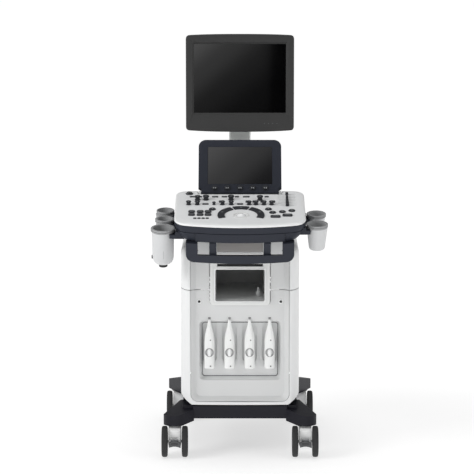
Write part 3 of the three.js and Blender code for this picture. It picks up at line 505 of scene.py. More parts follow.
def casters():
    for end, side_y in (("front", -1), ("rear", 1)):
        for hand, side_x in (("left", -1), ("right", 1)):
            corner = f"{end}_{hand}"
            x, y = side_x * SWIVEL_X, SWIVEL_Y[end]
            fork = yoke(f"fork_{corner}", x, y, side_y < 0)
            mount(fork, f"caster_{corner}", f"yoke_{corner}", slot="white_cover")
            for half, side in (("left", -1), ("right", 1)):
                node = f"wheel_{corner}_{half}"
                tyre = wheel(f"tyre_{corner}_{half}", side, x + side * 32.2, y - TRAIL)
                mount(tyre, node, node, slot="tread")
            if side_y < 0:
                node = f"brake_pedal_{corner}"
                mount(pedal(f"pedal_{corner}", x, y), node, node, slot="rubber")


# ---------- body covers ----------

# The covers' outer faces, the fascia's half width and face, the seam's level and the covers' lower edge.
HALF_W, FRONT_Y, REAR_Y = 191, -220, 318
FASCIA, FASCIA_Y = 158.7, -214.9
SEAM = 535
FLOOR_Z = 162.5
COVER_WALL = 3
JACKS = [(x, -202, 496.5) for x in (-130.7, 130.7)]
BEARING_AT = (0, -90, 0)


def body_plan(inset=0):
    """The plan of the covers, the same at every level but for its inset."""
    w, front, rear = HALF_W - inset, FRONT_Y + inset, REAR_Y - inset
    r = 30 - inset
    half = [(0, front)] + curve((0, front), (FASCIA / 2, front), (FASCIA, front + 5), 12)
    half += arc(FASCIA, front + 89, w - FASCIA, 84, 270, 360, 18)[1:]
    half += arc(w - r, rear - r, r, r, 0, 90, 10) + [(0, rear)]
    return mirrored(half)


def tube(name, low, high):
    """The covers' wall between two levels."""
    made = prism(name, body_plan(), low, high, WHITE)
    return cut(made, prism("hollow", body_plan(COVER_WALL), low - 5, high + 5, WHITE))


def window(inset, top):
    """The opening that the fascia fills, up to a level."""
    return round_rect(-FASCIA + inset, FASCIA - inset, FLOOR_Z + 9.5 + inset, top, 24 - inset, 0.5, 12)


def lower_covers():
    housing = tube("side_covers", FLOOR_Z + 0.2, SEAM - 0.9)
    opening = prism("opening", window(0, 600), -260, -140, WHITE, "y")
    cut(housing, opening, block("rear", -200, 200, 285, 330, 100, 800, WHITE))
    for side in (-1, 1):
        corner = [(side * x, FLOOR_Z + z) for x, z in ((148, -5), (200, -5), (200, 34))]
        cut(housing, prism("leg_notch", corner, -260, -110, WHITE, "y"))
    mount(soften(housing, 1.2, 3), "trolley", "lower_housing", slot="white_cover")

    panel = prism("front_fascia", window(1.1, SEAM - 0.9), FASCIA_Y, -196.2, FASCIA_GREY_SHADED, "y")
    cut(panel, recess(), port_mouth(), module_mouth())
    for at in JACKS:
        cut(panel, rod("hole", 4.6, -12, 12, WHITE, "y", at))
    mount(soften(panel, 0.4, 2), "trolley", "lower_front_panel", slot="white_cover")
    rim = [(4.3, -2), (4.4, 0.3), (7.6, 0.3), (7.4, 1.2), (6, 1.8), (4.8, 1.4), (4.3, 0.4), (4.3, -2)]
    for i, at in enumerate(JACKS):
        ring = turned(f"jack_{i}", rim, DECK_WHITE, axis="y", at=at, sharp=35)
        pin = rod(f"jack_pin_{i}", 4.3, -2.6, 0.6, BLACK, "y", at)
        mount(merge(f"jack_{i}", [ring, pin]), "trolley")


def recess():
    """The sloped recess of the front, as a solid to take away."""
    mouth = round_rect(-157.1, 157.1, 174.5, 800, 22.8, 0.5, 12)
    flat = round_rect(-142, 142, 188.5, 800, 16, 0.5, 12)
    rings = [in_plane(flat, -202, "y"), in_plane(mouth, -215.6, "y"), in_plane(mouth, -240, "y")]
    return skin("recess", rings, FASCIA_GREY_SHADED)


def port_mouth():
    return prism("mouth", port_outline(0), -240, -190, FASCIA_GREY_SHADED, "y")


def module_mouth():
    return prism("mouth", round_rect(-97.6, 97.6, 485.4, 699.6, 13, 0.5), -260, -190, FASCIA_GREY_SHADED, "y")


def upper_covers():
    levels = [(0, SEAM + 0.9), (0, 640), (0.3, 646), (1.2, 652), (2.6, 657), (4.6, 661), (7.4, 664.4),
              (11, 666.8), (15.4, 667.9)]
    shell = stack("top_cover", body_plan, levels, WHITE)
    levels = [(COVER_WALL, SEAM - 5), (COVER_WALL, 640), (7, 657), (15, 664.6)]
    hollow = stack("hollow", body_plan, levels, WHITE)
    cut(shell, hollow, block("hood", -FASCIA, FASCIA, -260, 60.4, 500, 720, WHITE))
    mount(soften(shell, 1.2, 3), "trolley", "upper_shell", slot="white_cover")

    hood = block("hood_cover", -157.6, 157.6, FASCIA_Y, 59.8, SEAM + 0.9, 705.8, FASCIA_GREY_SHADED)
    hollow = block("hollow", -155, 155, -199, 57, 500, 703, FASCIA_GREY_SHADED)
    rear = block("rear", -155, 155, 0, 100, 500, 658, FASCIA_GREY_SHADED)
    bearing = rod("bearing", 45, 690, 720, FASCIA_GREY_SHADED, at=BEARING_AT, steps=64)
    cut(hood, recess(), hollow, rear, bearing, module_mouth())
    mount(soften(hood, 0.4, 2), "trolley", "upper_front_panel", slot="grey_cover")
    profile = [(42.6, 704), (51, 704), (52, 707.5), (50, 709), (42.6, 709), (42.6, 704)]
    mount(turned("bearing_collar", profile, NAVY_DEEP, at=BEARING_AT), "trolley")


def rear_covers():
    cover = tube("rear_panel", FLOOR_Z + 0.2, SEAM - 0.4)
    meet(cover, block("half", -200, 200, 285.5, 330, 100, 800, WHITE))
    join(cover, block("inlet", 88, 152, 296, 316.8, 186, 236, WHITE))
    slots = []
    for x in (-85, 85):
        for row in range(7):
            z = 405 + row * 14
            outline = round_rect(x - 50, x + 50, z, z + 6, 2.9, steps=6)
            slots.append(prism("slot", outline, 300, 330, WHITE, "y"))
    cut(cover, *slots)
    cut(cover, prism("inlet", round_rect(96, 144, 194, 228, 5), 301, 330, WHITE, "y"))
    mount(soften(cover, 1.0, 3), "trolley", "rear_cover", slot="white_cover")

    pins = []
    for x, z in ((112, 207), (128, 207), (120, 215)):
        pins.append(block("inlet_pin", x - 1, x + 1, 301, 313, z, z + 6, CHROME))
    pins.append(prism("inlet_core", round_rect(106, 134, 202, 224, 4), 300, 311, BLACK, "y"))
    mount(merge("mains_inlet", pins), "trolley")
    screws = []
    for x in (-165, 165):
        for z in (190, 350, 510):
            screws.append(rod("screw", 3.6, -318.6, -317.2, STEEL, "y", (x, 0, z), steps=24, edge=0.4))
            screws.append(block("screw", x - 2.6, x + 2.6, 318.2, 318.7, z - 0.45, z + 0.45, GROOVE))
    mount(merge("rear_screws", screws), "trolley")


# ---------- printer bay ----------

def printer_bay():
    outline = round_rect(-95.6, 95.6, 486.6, 698.9, 12, 0.5, 12)
    frame = prism("bay_frame", outline, -211.6, -198.2, MODULE, "y")
    sleeve = block("sleeve", -81.8, 81.8, -200, 142.8, 496.2, 603.8, MODULE)
    join(frame, sleeve)
    mouth = prism("mouth", round_rect(-79, 79, 499, 601, 5.5), -230, 140, MODULE, "y")
    slot = prism("slot", round_rect(-76, 76, 609.6, 621, 3.6), -230, -208.6, MODULE, "y")
    gap = block("gap", -73, 73, -230, -190, 611, 619.4, MODULE)
    view = block("view", -73.5, 73.5, -230, -204, 654, 720, MODULE)
    step = prism("step", round_rect(-86.5, 86.5, 493.5, 760, 8), -230, -209.8, MODULE, "y")
    cut(frame, step, mouth, slot, gap, view)
    mount(soften(frame, 1.4, 3), "trolley", "printer_bay", slot="grey_cover")

    rim = prism("bay_rim", round_rect(-82.6, 82.6, 495.6, 604.6, 8, 0.5, 12), -211.4, -209.2, DECK_WHITE, "y")
    cut(rim, prism("mouth", round_rect(-79.6, 79.6, 498.4, 601.6, 6), -230, -190, DECK_WHITE, "y"))
    mount(soften(rim, 0.7, 3), "trolley")
    lining = prism("bay_lining", round_rect(-78.8, 78.8, 499.2, 600.8, 5.3), -196, 139.6, MODULE_DARK, "y")
    inside = round_rect(-77.8, 77.8, 500.2, 599.8, 4.6)
    cut(lining, prism("inside", inside, -230, 139, MODULE_DARK, "y"))
    mount(lining, "trolley")
    mount(block("bay_floor", -77, 77, -190, 138, 500.3, 501.2, BAY), "trolley")
    profile = [(0, 0), (7.4, 0), (8, 1), (8, 12), (7, 14.5), (3.4, 17.5), (3, 19), (3, 27), (2.2, 28.4)]
    profile.append((0, 28.6))
    bottle = turned("bay_clip", profile, BAY, at=(59, -120, 501.4), steps=32, sharp=40)
    stud = rod("bay_stud", 3, -77.9, -75.4, BLACK, "x", (0, -118, 512), edge=0.5)
    stud.data.transform(Matrix.Scale(-1, 4, (1, 0, 0)))
    tidy(stud.data)
    mount(merge("bay_clip", [bottle, stud]), "trolley")

    mount(block("module_window", -73, 73, -206.6, -204.2, 656.5, 697, WINDOW), "trolley")
    mount(block("slot_back", -74, 74, -203.6, -199, 610, 620.2, GROOVE), "trolley")
    mount(block("window_sill", -73, 73, -207.4, -204.2, 654.4, 657.4, DECK_WHITE), "trolley")


# ---------- probe ports ----------

PLUG_X = [(i - 1.5) * 64.4 - 1.5 for i in range(4)]
LATCH_Z = 332.5
# Half width, front, back, level, and how far round the corners are as a share of the depth.
PLUG_SECTIONS = (
    (12.5, -208, -186, 278.2, 0.42), (14.6, -210.5, -183.4, 278.8, 0.42), (15.9, -212.3, -182.4, 280.6, 0.4),
    (16.5, -213.3, -181.6, 284, 0.38), (16.5, -214.6, -180.2, 330, 0.36), (16.3, -214.9, -180.2, 366, 0.36),
    (15.4, -215, -182, 380, 0.36), (13.6, -214.9, -184.4, 392, 0.37), (11.2, -214.7, -188.5, 402, 0.39),
    (8.8, -214.4, -192.2, 411, 0.41), (6.9, -214.1, -198, 419, 0.44), (5.6, -213.9, -202.9, 426, 0.46),
    (5.0, -213.7, -203.3, 432, 0.48), (4.8, -213.4, -203.5, 437.4, 0.48), (4.4, -213.1, -203.9, 437.9, 0.48),
)


def port_outline(inset):
    return round_rect(-130 + inset, 130 - inset, 241.5 + inset, 433.5 - inset, 13 - inset / 2)


def ports():
    pan = block("port_pan", -133.2, 133.2, -195.4, -162.2, 236.7, 438.3, PORT)
    cuts = [stack("hollow", port_outline, [(8, -176), (1, -195.6), (1, -215)], PORT, "y")]
    for x in PLUG_X:
        cuts.append(prism("pocket", round_rect(x - 23.4, x + 23.4, 298.5, 415.5, 11), -190, -170, PORT, "y"))
        cuts.append(rod("socket", 11.4, -15, 15, PORT, "y", (x, -170, 350)))
    cut(pan, *cuts)
    mount(soften(pan, 1.5, 3), "trolley", "port_panel", slot="grey_cover")
    # A thin flat ring inside the recess's edge: a painted shadow line round the ports.
    line = prism("port_line", port_outline(7.4), -177.6, -175.4, PAINTED_SHADOW, "y")
    cut(line, prism("inside", port_outline(9.6), -190, -160, PAINTED_SHADOW, "y"))
    mount(line, "trolley")
    for i, x in enumerate(PLUG_X, 1):
        probe_plug(f"probe_plug_{i}", x)
        outline = round_rect(x - 5, x + 5, 320.5, 344.5, 4.9, steps=12)
        latch = prism("latch", outline, -217.4, -213.4, DECK_WHITE, "y")
        soften(latch, 1.2, 3)
        shaft = rod("latch", 3, 205.2, 214, STEEL, "y", (x, 0, LATCH_Z))
        mount(merge(f"latch_{i}", [latch, shaft]), f"plug_latch_{i}", f"plug_latch_{i}", slot="grey_cover")
        # A flat dark oval above each plug: painted shade where its cable eye sits.
        outline = round_rect(x - 4.6, x + 4.6, 441.4, 445, 1.8)
        mount(prism(f"cable_eye_{i}", outline, -203, -201.6, PAINTED_SHADOW, "y"), "trolley")


def probe_plug(name, x):
    """A plug from its base up to its neck, with the seat for its latch."""
    rings = []
    for half, front, back, z, share in PLUG_SECTIONS:
        r = min((back - front) * share, half * 0.98)
        rings.append(in_plane(round_rect(x - half, x + half, front, back, r, steps=8), z, "z"))
    body = skin(name, rings, PLUG, 50)
    join(body, rod("boss", 10.5, 165, 186, PLUG, "y", (x, 0, 350)), sharp=50)
    cut(body, rod("seat", 14.3, 211.3, 230, PLUG, "y", (x, 0, LATCH_Z), steps=48), sharp=50)
    groove = round_rect(x - 17.5, x + 17.5, 315.1, 349.9, 17, steps=16)
    cut(body, prism("groove", groove, -230, -214.2, PLUG, "y"), sharp=50)
    profile = [(9.3, 210), (13.9, 210), (14.1, 213.4), (13.2, 214.5), (10.4, 214.2), (9.3, 210)]
    pieces = [body, turned(name, profile, LATCH, axis="y", at=(x, 0, LATCH_Z))]
    pieces.append(rod(name, 9.4, 209.5, 212.4, MODULE, "y", (x, 0, LATCH_Z), edge=0.4))
    pieces.append(rod(name, 3.5, 431, 440, MODULE_DARK, "z", (x, -208.2, 0), edge=0.4))
    spots = [(x + 3.2, 0, z) for z in (288, 373)]
    pieces += [rod(name, 2.5, 212.6, 215.15, LATCH, "y", at, edge=0.4) for at in spots]
    pieces += [rod(name, 1.3, 215, 215.25, GROOVE, "y", at, steps=6) for at in spots]
    mount(merge(f"{name}_body", pieces), "trolley", name, slot="white_cover")


# ---------- console ----------

HALF_C, LENGTH_C = 207, 311
# The shelf behind the console that carries the monitor, in world levels.
SHELF = (-72, 72, -78, 189.8, 782.2, 829.3)

CUP_LEAN = math.radians(3)
# Each cup's rim centre in the console's frame, then its rim, mouth, top and foot radius, its depth, the
# height of its dome and how far down its grey band reaches.
CUPS = {
    "cup_left_front": (-243.6, 83.8, -31.4, 38.5, 31, 35, 34, 119.5, 24, 12.4),
    "cup_left_middle": (-240.4, 170.2, -34.1, 30.8, 22.5, 28, 23, 92, 6, 40),
    "cup_left_rear": (-240, 240.7, -32.5, 28.8, 25, 31, 22, 92, 6, 26),
    "cup_right_front": (243.4, 88.4, -19, 34.3, 31, 33.2, 25.8, 86, 10, 12.4),
    "cup_right_rear": (243, 168.6, -15.6, 31.3, 26.2, 28.5, 22.5, 92, 6, 12.4),
}


def console_plan(side, front, steps=14):
    """The plan of the console, set in from its sides and from its front."""
    k = (HALF_C - side) / HALF_C
    w, rear = HALF_C - side, LENGTH_C - side
    half = [(0, front)]
    half += curve((0, front), (92 * k, front), (170 * k, front + 19), steps)
    half += curve((170 * k, front + 19), (202 * k, front + 27), (w, front + 66), steps)
    half += curve((w, rear - 40), (w, rear), (w - 40, rear), steps)
    half.insert(2 * steps + 1, (w, rear - 40))
    return mirrored(half + [(0, rear)])


def level_block(name, x0, x1, y0, y1, z0, z1, material):
    """A box that stays level, as a mesh in the console's frame."""
    made = block(name, x0, x1, y0, y1, z0, z1, material)
    made.data.transform(CONSOLE.inverted())
    return made


def console_shell():
    rings = [(0, 0, -0.4), (0.2, 0.2, -6), (1, 0.6, -12), (3.2, 0.8, -18), (4.8, 0.9, -21.2)]
    rings += [(6.8, 3, -21.6), (6.8, 3, -23.2), (5.6, 0.9, -23.6)]
    rings += [(8, 0.7, -30), (12.6, 0.5, -38), (17.5, 0.4, -44), (22.5, 0.8, -48.8), (26, 3.2, -51.4)]
    outer = stack("console_body", console_plan, reversed(rings), NAVY)
    inner = stack("hollow", console_plan, [(30, 6, -47.5), (12, 6, -30), (4.5, 4.5, 5)], NAVY)
    boss = rod("boss", 60, 712.2, 800, NAVY, at=BEARING_AT, steps=64)
    boss.data.transform(CONSOLE.inverted())
    bridge = level_block("bridge", *SHELF, NAVY)
    join(outer, boss, bridge)
    cut(outer, inner)
    lid = prism("lid", console_plan(-5, -5), -0.4, 80, NAVY)
    mouth = block("mouth", -138, 138, 2, 40, -46.9, -24, NAVY)
    cut(outer, lid, front_band("band", -6, 8.6, 141.6, -60, -22.2), mouth)
    tail = level_block("tail", *SHELF, NAVY)
    cut(tail, prism("keep", console_plan(-1, -5), -90, 26, NAVY))
    join(outer, tail)
    for cup in CUPS.values():
        join(outer, cup_arm(*cup))
    outer.matrix_world = CONSOLE
    mount(soften(outer, 1.3, 3), "console", "console_shell", slot="navy_cover")


def cup_arm(x, s, n, rim, _mouth, top, *_below):
    """From the shell's flank round the inner front of a cup, leaning with it."""
    side = 1 if x > 0 else -1
    reach = abs(x) - 21.7
    near = abs(x) - max(rim, top) - 1.2
    flank = side * 175
    ring = [(flank, -37.6)] + curve((flank, -37.6), (side * (reach - 3), -38), (side * reach, -34), 8)
    ring += [(side * reach, 9.6), (flank, 25.6)]
    root = [(flank, -37.4), (side * near, -37.4), (side * near, 9.8), (flank, 25.4)]
    arm = prism("arm", ring, -24.8, -12.7, NAVY)
    join(arm, prism("root", root, -24.8, -2.4, NAVY))
    cut(arm, rod("socket", top + 0.7, -60, 20, NAVY, at=(x, 0, 0), steps=48))
    arm.data.transform(cup_place(s, n))
    return arm


def cup_place(s, n, x=0):
    """A cup's own frame in the console's, leaning back from upright."""
    return Matrix.Translation(Vector((x, s, n)) * MM) @ Matrix.Rotation(-CUP_LEAN, 4, "X")


def front_band(name, near, far, half, low, high, steps=48):
    """The strip of the console between two offsets of its front edge."""
    xs = [-half + 2 * half * i / steps for i in range(steps + 1)]
    edge = {x: 19 * (abs(x) / 170) ** 1.9 for x in xs}
    outline = [(x, near + edge[x]) for x in xs] + [(x, far + edge[x]) for x in reversed(xs)]
    return prism(name, outline, low, high, NAVY)


def drawer():
    """The keyboard drawer: front, tray and keyboard."""
    front = front_band("drawer_front", 0.4, 8, 140.6, -50.6, -23)
    tray = block("tray", -135.8, 135.8, 16, 189.8, -46.2, -27.8, NAVY)
    lip = block("lip", -135.8, 135.8, 5, 18, -46.2, -27.8, NAVY)
    cut(lip, front_band("clear", -30, 4, 150, -60, 0))
    join(front, tray, lip)
    cut(front, block("well", -131, 131, 20, 185, -43.3, -10, NAVY))
    front.matrix_world = CONSOLE
    mount(soften(front, 0.9, 3), "drawer", "keyboard_drawer", slot="navy_cover")

    plate = block("keys", -128.6, 128.6, 22.4, 182.6, -42.9, -39.2, KEY)
    pieces = [soften(plate, 1)]
    for row in range(6):
        count = 15 if row < 5 else 9
        pitch = 250 / count
        for i in range(count):
            pieces.append(key_cap(-125 + pitch * (i + 0.5), 37.5 + row * 26, pitch - 2.2, 18.5, -40, -34.6))
    mount(merge("keyboard_keys", placed(CONSOLE, pieces)), "drawer", "keyboard", slot="key")


def key_cap(x, y, wide, deep, low, high, r=1.6):
    """A key with sloped sides."""
    w, d = wide / 2, deep / 2
    outline = lambda inset: round_rect(x - w + inset, x + w - inset, y - d + inset, y + d - inset, r, steps=4)
    levels = ((0, low), (0, high - (high - low) * 0.6), (0.48, high - 0.35), (0.98, high))
    return stack("key", outline, levels, KEY, sharp=50)


def handle():
    """The bowed loop under the console's front, with its two struts."""
    top = -52.1
    outline = round_rect(-169.8, 169.8, -114.8, top + 20, 24, 1, 16)
    loop = prism("grip", outline, -40, 60, NAVY, "y")
    cut(loop, prism("opening", round_rect(-133, 133, -88.5, top + 30, 6, 1), -60, 80, NAVY, "y"))
    cut(loop, block("over", -200, 200, -60, 80, top, 0, NAVY))
    for x in (-85, 85):
        join(loop, block("strut", x - 11.4, x + 11.4, 2, 60, -90, top, NAVY))
    meet(loop, front_band("bow", -13.8, 15.8, 175, -120, top, 56))
    for low, high in ((-133, -96.8), (-73.2, 73.2), (96.8, 133)):
        cut(loop, level_block("sill", low, high, -420, -250, 665.4, 677, NAVY))
    loop.matrix_world = CONSOLE
    mount(soften(loop, 3.4, 4), "console", "front_handle", slot="navy_cover")


# ---------- deck controls ----------

# In the console's frame: the ball's centre, the power button, the deck's face and the lowest slider slot.
BALL_AT = (3, 89, -4)
POWER_AT = (-163, 281, 0)
DECK_N = 8
SLIDER_Y, SLIDER_PITCH = 172.3, 14.2


def slider_slots(grow, r, material):
    """The row of slots that the sliders run in."""
    slots = []
    for i in range(8):
        low = SLIDER_Y - grow + i * SLIDER_PITCH
        high = SLIDER_Y + 4.4 + grow + i * SLIDER_PITCH
        slots.append(prism("slot", round_rect(121 - grow, 181 + grow, low, high, r), 5.4, 20, material))
    return slots


def deck():
    rings = [(0.6, 0.4), (0, 0.9), (0, 2.6), (0.25, 3.8), (0.8, 4.9), (1.7, 6), (2.9, 6.9), (4.4, 7.6)]
    rings.append((6.2, DECK_N))
    plate = stack("deck_top", lambda i: console_plan(i, i), rings, DECK_WHITE, sharp=50)
    x, y, n = BALL_AT
    cup = rod("cup", 24, -26.8, 4, DECK_WHITE, at=(x, y, 0), steps=64)
    join(plate, cup, sharp=50)
    cut(plate, block("trough", -136, 136, 276, 330, 2.2, 20, DECK_WHITE), sharp=50)
    hinge = (0, 291.8, 7.55)
    for side in (-1, 1):
        low, high = side * 130 - 3.9, side * 130 + 3.9
        ear = rod("ear", 6.4, low, high, DECK_WHITE, "x", hinge, steps=40)
        foot = block("foot", low, high, 285.4, 298.2, 1, 7.5, DECK_WHITE)
        join(plate, ear, foot, sharp=50)
    seat = [(0, n - 19.6)] + [(r, n + h) for r, h in arc(0, 0, 19.6, 19.6, -80, 80, 28)] + [(0, n + 19.6)]
    ball = turned("ball", seat, DECK_WHITE, at=(x, y, 0), steps=64)
    hole = rod("drain", 8, -40, 0, DECK_WHITE, at=(x, y, 0))
    pin = rod("pin", 3.6, -140, 140, DECK_WHITE, "x", hinge)
    cut(plate, ball, hole, pin, sharp=50)
    cut(plate, *slider_slots(0, 2, DECK_WHITE), sharp=50)
    plate.matrix_world = CONSOLE
    mount(soften(plate, 0.7, 2, 40), "console", "console_deck", slot="white_cover")

    inlay = prism("deck_inlay", console_plan(12, 15, 20), 7.9, 8.25, DECK_GREY)
    round_ball = rod("round", 25, 0, 20, DECK_GREY, at=(x, y, 0), steps=64)
    rear = block("rear", -138, 138, 274, 330, 0, 20, DECK_GREY)
    round_power = rod("round", 13, 0, 20, DECK_GREY, at=POWER_AT)
    cut(inlay, round_ball, rear, round_power, *slider_slots(0.5, 2.3, DECK_GREY))
    inlay.matrix_world = CONSOLE
    mount(inlay, "console")
    profile = [(19.9, 6.4), (20.2, 8.4), (21.2, 9.7), (23, 10.1), (25.4, 9.4), (26.4, 8.2), (26.4, 7)]
    profile.append(profile[0])
    mount(turned("ball_ring", profile, MODULE, CONSOLE, 64, at=(x, y, 0), sharp=50), "console")
    profile = [(0, -19)] + arc(0, 0, 19, 19, -84, 84, 36) + [(0, 19)]
    sphere = turned("ball", profile, BALL, CONSOLE, 72, at=BALL_AT, sharp=60)
    mount(sphere, "trackball", "trackball", slot="ball")


def paddle(x, y, height, r, lever=0):
    """A knob with a flared cap on a thick stem; lever leans its grip to one side."""
    top = DECK_N + height
    waist = DECK_N + height * 0.56
    profile = [(0, DECK_N), (r * 0.98, DECK_N), (r * 0.96, DECK_N + 1.2), (r * 0.8, DECK_N + 2)]
    profile += [(r * 0.78, waist), (r * 0.95, waist + height * 0.1), (r * 1.06, waist + height * 0.2)]
    profile += [(r * 1.06, top - height * 0.1), (r * 0.96, top - 0.3), (r * 0.8, top), (0, top - 0.5)]
    pieces = [turned("knob", profile, KEY, at=(x, y, 0), steps=32, sharp=45)]
    pieces.append(block("mark", x - 0.8, x + 0.8, y - r * 0.75, y + r * 0.1, top - 1, top + 0.1, KEY_PRINT_AND_GLINT))
    if lever:
        pieces.append(key_cap(x + lever * r * 0.7, y, r * 1.5, r * 1.2, top - 4, top + 0.6, r=2.4))
    return pieces


def button(x, y):
    """A round key with a lighter dot."""
    r, height = 10.4, 3.2
    profile = [(0, 0), (r + 0.8, 0), (r + 0.8, 0.8), (r, 1), (r, height * 0.7), (r * 0.93, height * 0.93),
               (r * 0.78, height), (0, height * 0.86)]
    made = turned("button", [(a, DECK_N + h) for a, h in profile], KEY, at=(x, y, 0), steps=40, sharp=50)
    mark = prism("mark", circle(x, y, 2.6, 20), DECK_N + height * 0.86, DECK_N + height + 0.05, KEY_PRINT_AND_GLINT)
    return [made, mark]


def oblong(x, y, wide, deep, height=3.2, marked=True):
    """A key with straight sides, with a lighter bar if marked."""
    top = DECK_N + height
    pieces = [key_cap(x, y, wide, deep, DECK_N, top, r=min(deep, wide) * 0.3)]
    if marked:
        half = wide * 0.28
        pieces.append(block("mark", x - half, x + half, y - 1.1, y + 1.1, top - 0.2, top + 0.1, KEY_PRINT_AND_GLINT))
    return pieces


def ring_key(start, end):
    """A key on the half ring round the trackball, between two angles."""
    inner, outer, height = 52, 74.5, 3.8
    x, y, _ = BALL_AT

    def outline(inset):
        turn = math.degrees(inset / outer)
        far, near = outer - inset, inner + inset
        rim = arc(x, y, far, far, start + turn, end - turn, 24)
        return rim + arc(x, y, near, near, end - turn, start + turn, 24)

    levels = [(inset, DECK_N + height * share) for inset, share in ((0, 0), (0, 0.5), (0.6, 0.9), (1.2, 1))]
    return soften(stack("ring_key", outline, levels, KEY, sharp=50), 0.5, 2, 50)


def deck_keys():
    keys = []
    for y in (94, 120):
        for x in (-153, -126, -101):
            keys += oblong(x, y, 21.5, 20)
    for x in (-142, -129, -116, -103):
        keys += oblong(x, 63, 10.5, 8.5, 2.4, False)
    for x, y in ((-87.5, 142), (90, 142), (103, 113), (134, 119), (164, 129)):
        keys += button(x, y)
    for x, y in ((111.5, 77), (149.5, 88)):
        keys += oblong(x, y, 32, 18.5, 3.8)
    for x in (-110, 0):
        keys += oblong(x, 187, 20, 11, 2.6)
    for x, wide in ((-142, 40), (-80, 20), (-50, 18), (-10, 14), (20, 22), (86, 14)):
        keys += oblong(x, 252, wide, 9, 2.6, wide > 16)
    levers = {-164: 0, -136: 0, -83: 0, -56: -1, -28: 0, 29: -1, 51: -1, 76.5: -1, 101: 1}
    for x, lever in levers.items():
        keys += paddle(x, 185, *((9, 5.6) if x == -83 else (12, 8)), lever)
    for x in (-136, 64):
        keys += paddle(x, 226, 14, 9.5)
    keys += [ring_key(-21, 63), ring_key(68.5, 111.5), ring_key(117, 201)]
    for angle in (20, 90, 160):
        a = math.radians(angle)
        x, y = BALL_AT[0] + 63 * math.cos(a), BALL_AT[1] + 63 * math.sin(a)
        outline = round_rect(x - 3.2, x + 3.2, y - 1.6, y + 1.6, 1.2)
        keys.append(prism("mark", outline, DECK_N + 3.6, DECK_N + 3.9, KEY_PRINT_AND_GLINT))
    mount(merge("deck_keys", placed(CONSOLE, keys)), "console", "key_mat", slot="key")


def controls():
    deck_keys()
    for name, x in (("gain_knob", -109), ("depth_knob", -28.8)):
        knob = paddle(x, 228, 14.2, 9.8)
        knob.append(rod("shaft", 3, 0.5, 9, STEEL, at=(x, 228, 0)))
        for i in range(12):
            a = 2 * math.pi * i / 12
            at = (x + 9.3 * math.cos(a), 228 + 9.3 * math.sin(a), 0)
            knob.append(rod("rib", 0.8, 20.2, 22, KEY, at=at, steps=8))
        mount(merge(f"{name}_cap", placed(CONSOLE, knob)), name, name, slot="key")

    px, py, _ = POWER_AT
    profile = [(0, 10.3), (7.8, 10.3), (8.4, 10.9), (8.4, 12.6), (7.4, 13.7), (0, 13.2)]
    pieces = [turned("power", profile, KEY, at=POWER_AT, sharp=50)]
    profile = [(3.6, 13.4), (4.4, 13.4), (4.4, 13.75), (3.6, 13.75), (3.6, 13.4)]
    pieces.append(turned("mark", profile, KEY_PRINT_AND_GLINT, at=POWER_AT))
    pieces.append(block("mark", px - 0.4, px + 0.4, py + 1.6, py + 5, 13.3, 13.8, KEY_PRINT_AND_GLINT))
    pieces.append(rod("shaft", 3, 3.6, 10, STEEL, at=POWER_AT))
    mount(merge("power_cap", placed(CONSOLE, pieces)), "power_button", "power_button", slot="key")
    profile = [(9, 7), (12.4, 7.6), (12.4, 8.6), (10.2, 9.7), (9, 9.5), (9, 7)]
    mount(turned("power_ring", profile, KEY, CONSOLE, at=POWER_AT, sharp=50), "console")

    sliders = [block("bar", 149.6, 152.4, 171, 280, 8.45, 9.4, GROOVE)]
    for i in range(8):
        y = SLIDER_Y + 2.2 + i * SLIDER_PITCH
        wide = 9.6 if i == 7 else 11.2 - 0.75 * i
        sliders.append(key_cap(151, y - 1.5, wide, 11 if i < 6 else 8.6, 8.9, 16.2, r=2))
        sliders.append(block("mark", 150.6, 151.4, y - 5, y + 1.5, 16, 16.35, GROOVE))
    mount(merge("slider_knobs", placed(CONSOLE, sliders)), "gain_sliders", "gain_sliders", slot="key")


# ---------- cups ----------

def cups():
    for node, (x, s, n, rim, mouth, top, foot, depth, dome, grey) in CUPS.items():
        low, knee = foot - dome * 0.72, dome - depth
        wall = curve((low, -depth), (foot - dome * 0.1, dome * 0.12 - depth), (foot, knee), 10)
        inside = curve((foot - 3.4, knee + 1), (low, 7 - depth), (low - 3, 6 - depth), 6)
        split = foot + (top - foot) * (depth - dome - grey) / (depth - dome - 12)
        shell = [(0, -depth), (low, -depth)] + wall + [(split, -grey), (split - 2, -grey)]
        shell += [(foot - 3.4, knee + 1)] + inside + [(0, 6 - depth)]
        band = [(split - 2, -grey), (split, -grey), (top, -12), (rim - 1, -10.2), (rim - 0.2, -9.4)]
        band += [(rim - 0.2, -7), (rim - 1.8, -6.3), (rim - 1.8, -5.2), (rim, -4.6), (rim, -1.6)]
        band += [(rim - 0.5, -0.5), (rim - 1.5, 0), (mouth + 1.2, 0), (mouth + 0.4, -0.5), (mouth, -2)]
        band += [(mouth - 0.3, -12), (split - 2, -grey)]
        liner = [(0, 8 - depth), (low - 4, 8.2 - depth), (foot - 5.4, knee + 2), (mouth - 0.2, -2.5),
                 (mouth + 0.2, -2.2), (mouth + 0.6, -8), (foot - 4.4, knee + 2), (low - 3, 6.8 - depth),
                 (0, 6.4 - depth)]
        pieces = []
        for profile, material, sharp in ((shell, CUP_WHITE_SHADED, 45), (band, RUBBER, 35), (liner, CUP_INSIDE, 45)):
            pieces.append(turned(node, profile, material, steps=72, sharp=sharp))
        if node == "cup_left_front":
            pieces += cup_extras(foot, depth)
        placed(CONSOLE @ cup_place(s, n, x), pieces)
        mount(merge(f"{node}_body", pieces), "console", node, slot="white_cover")


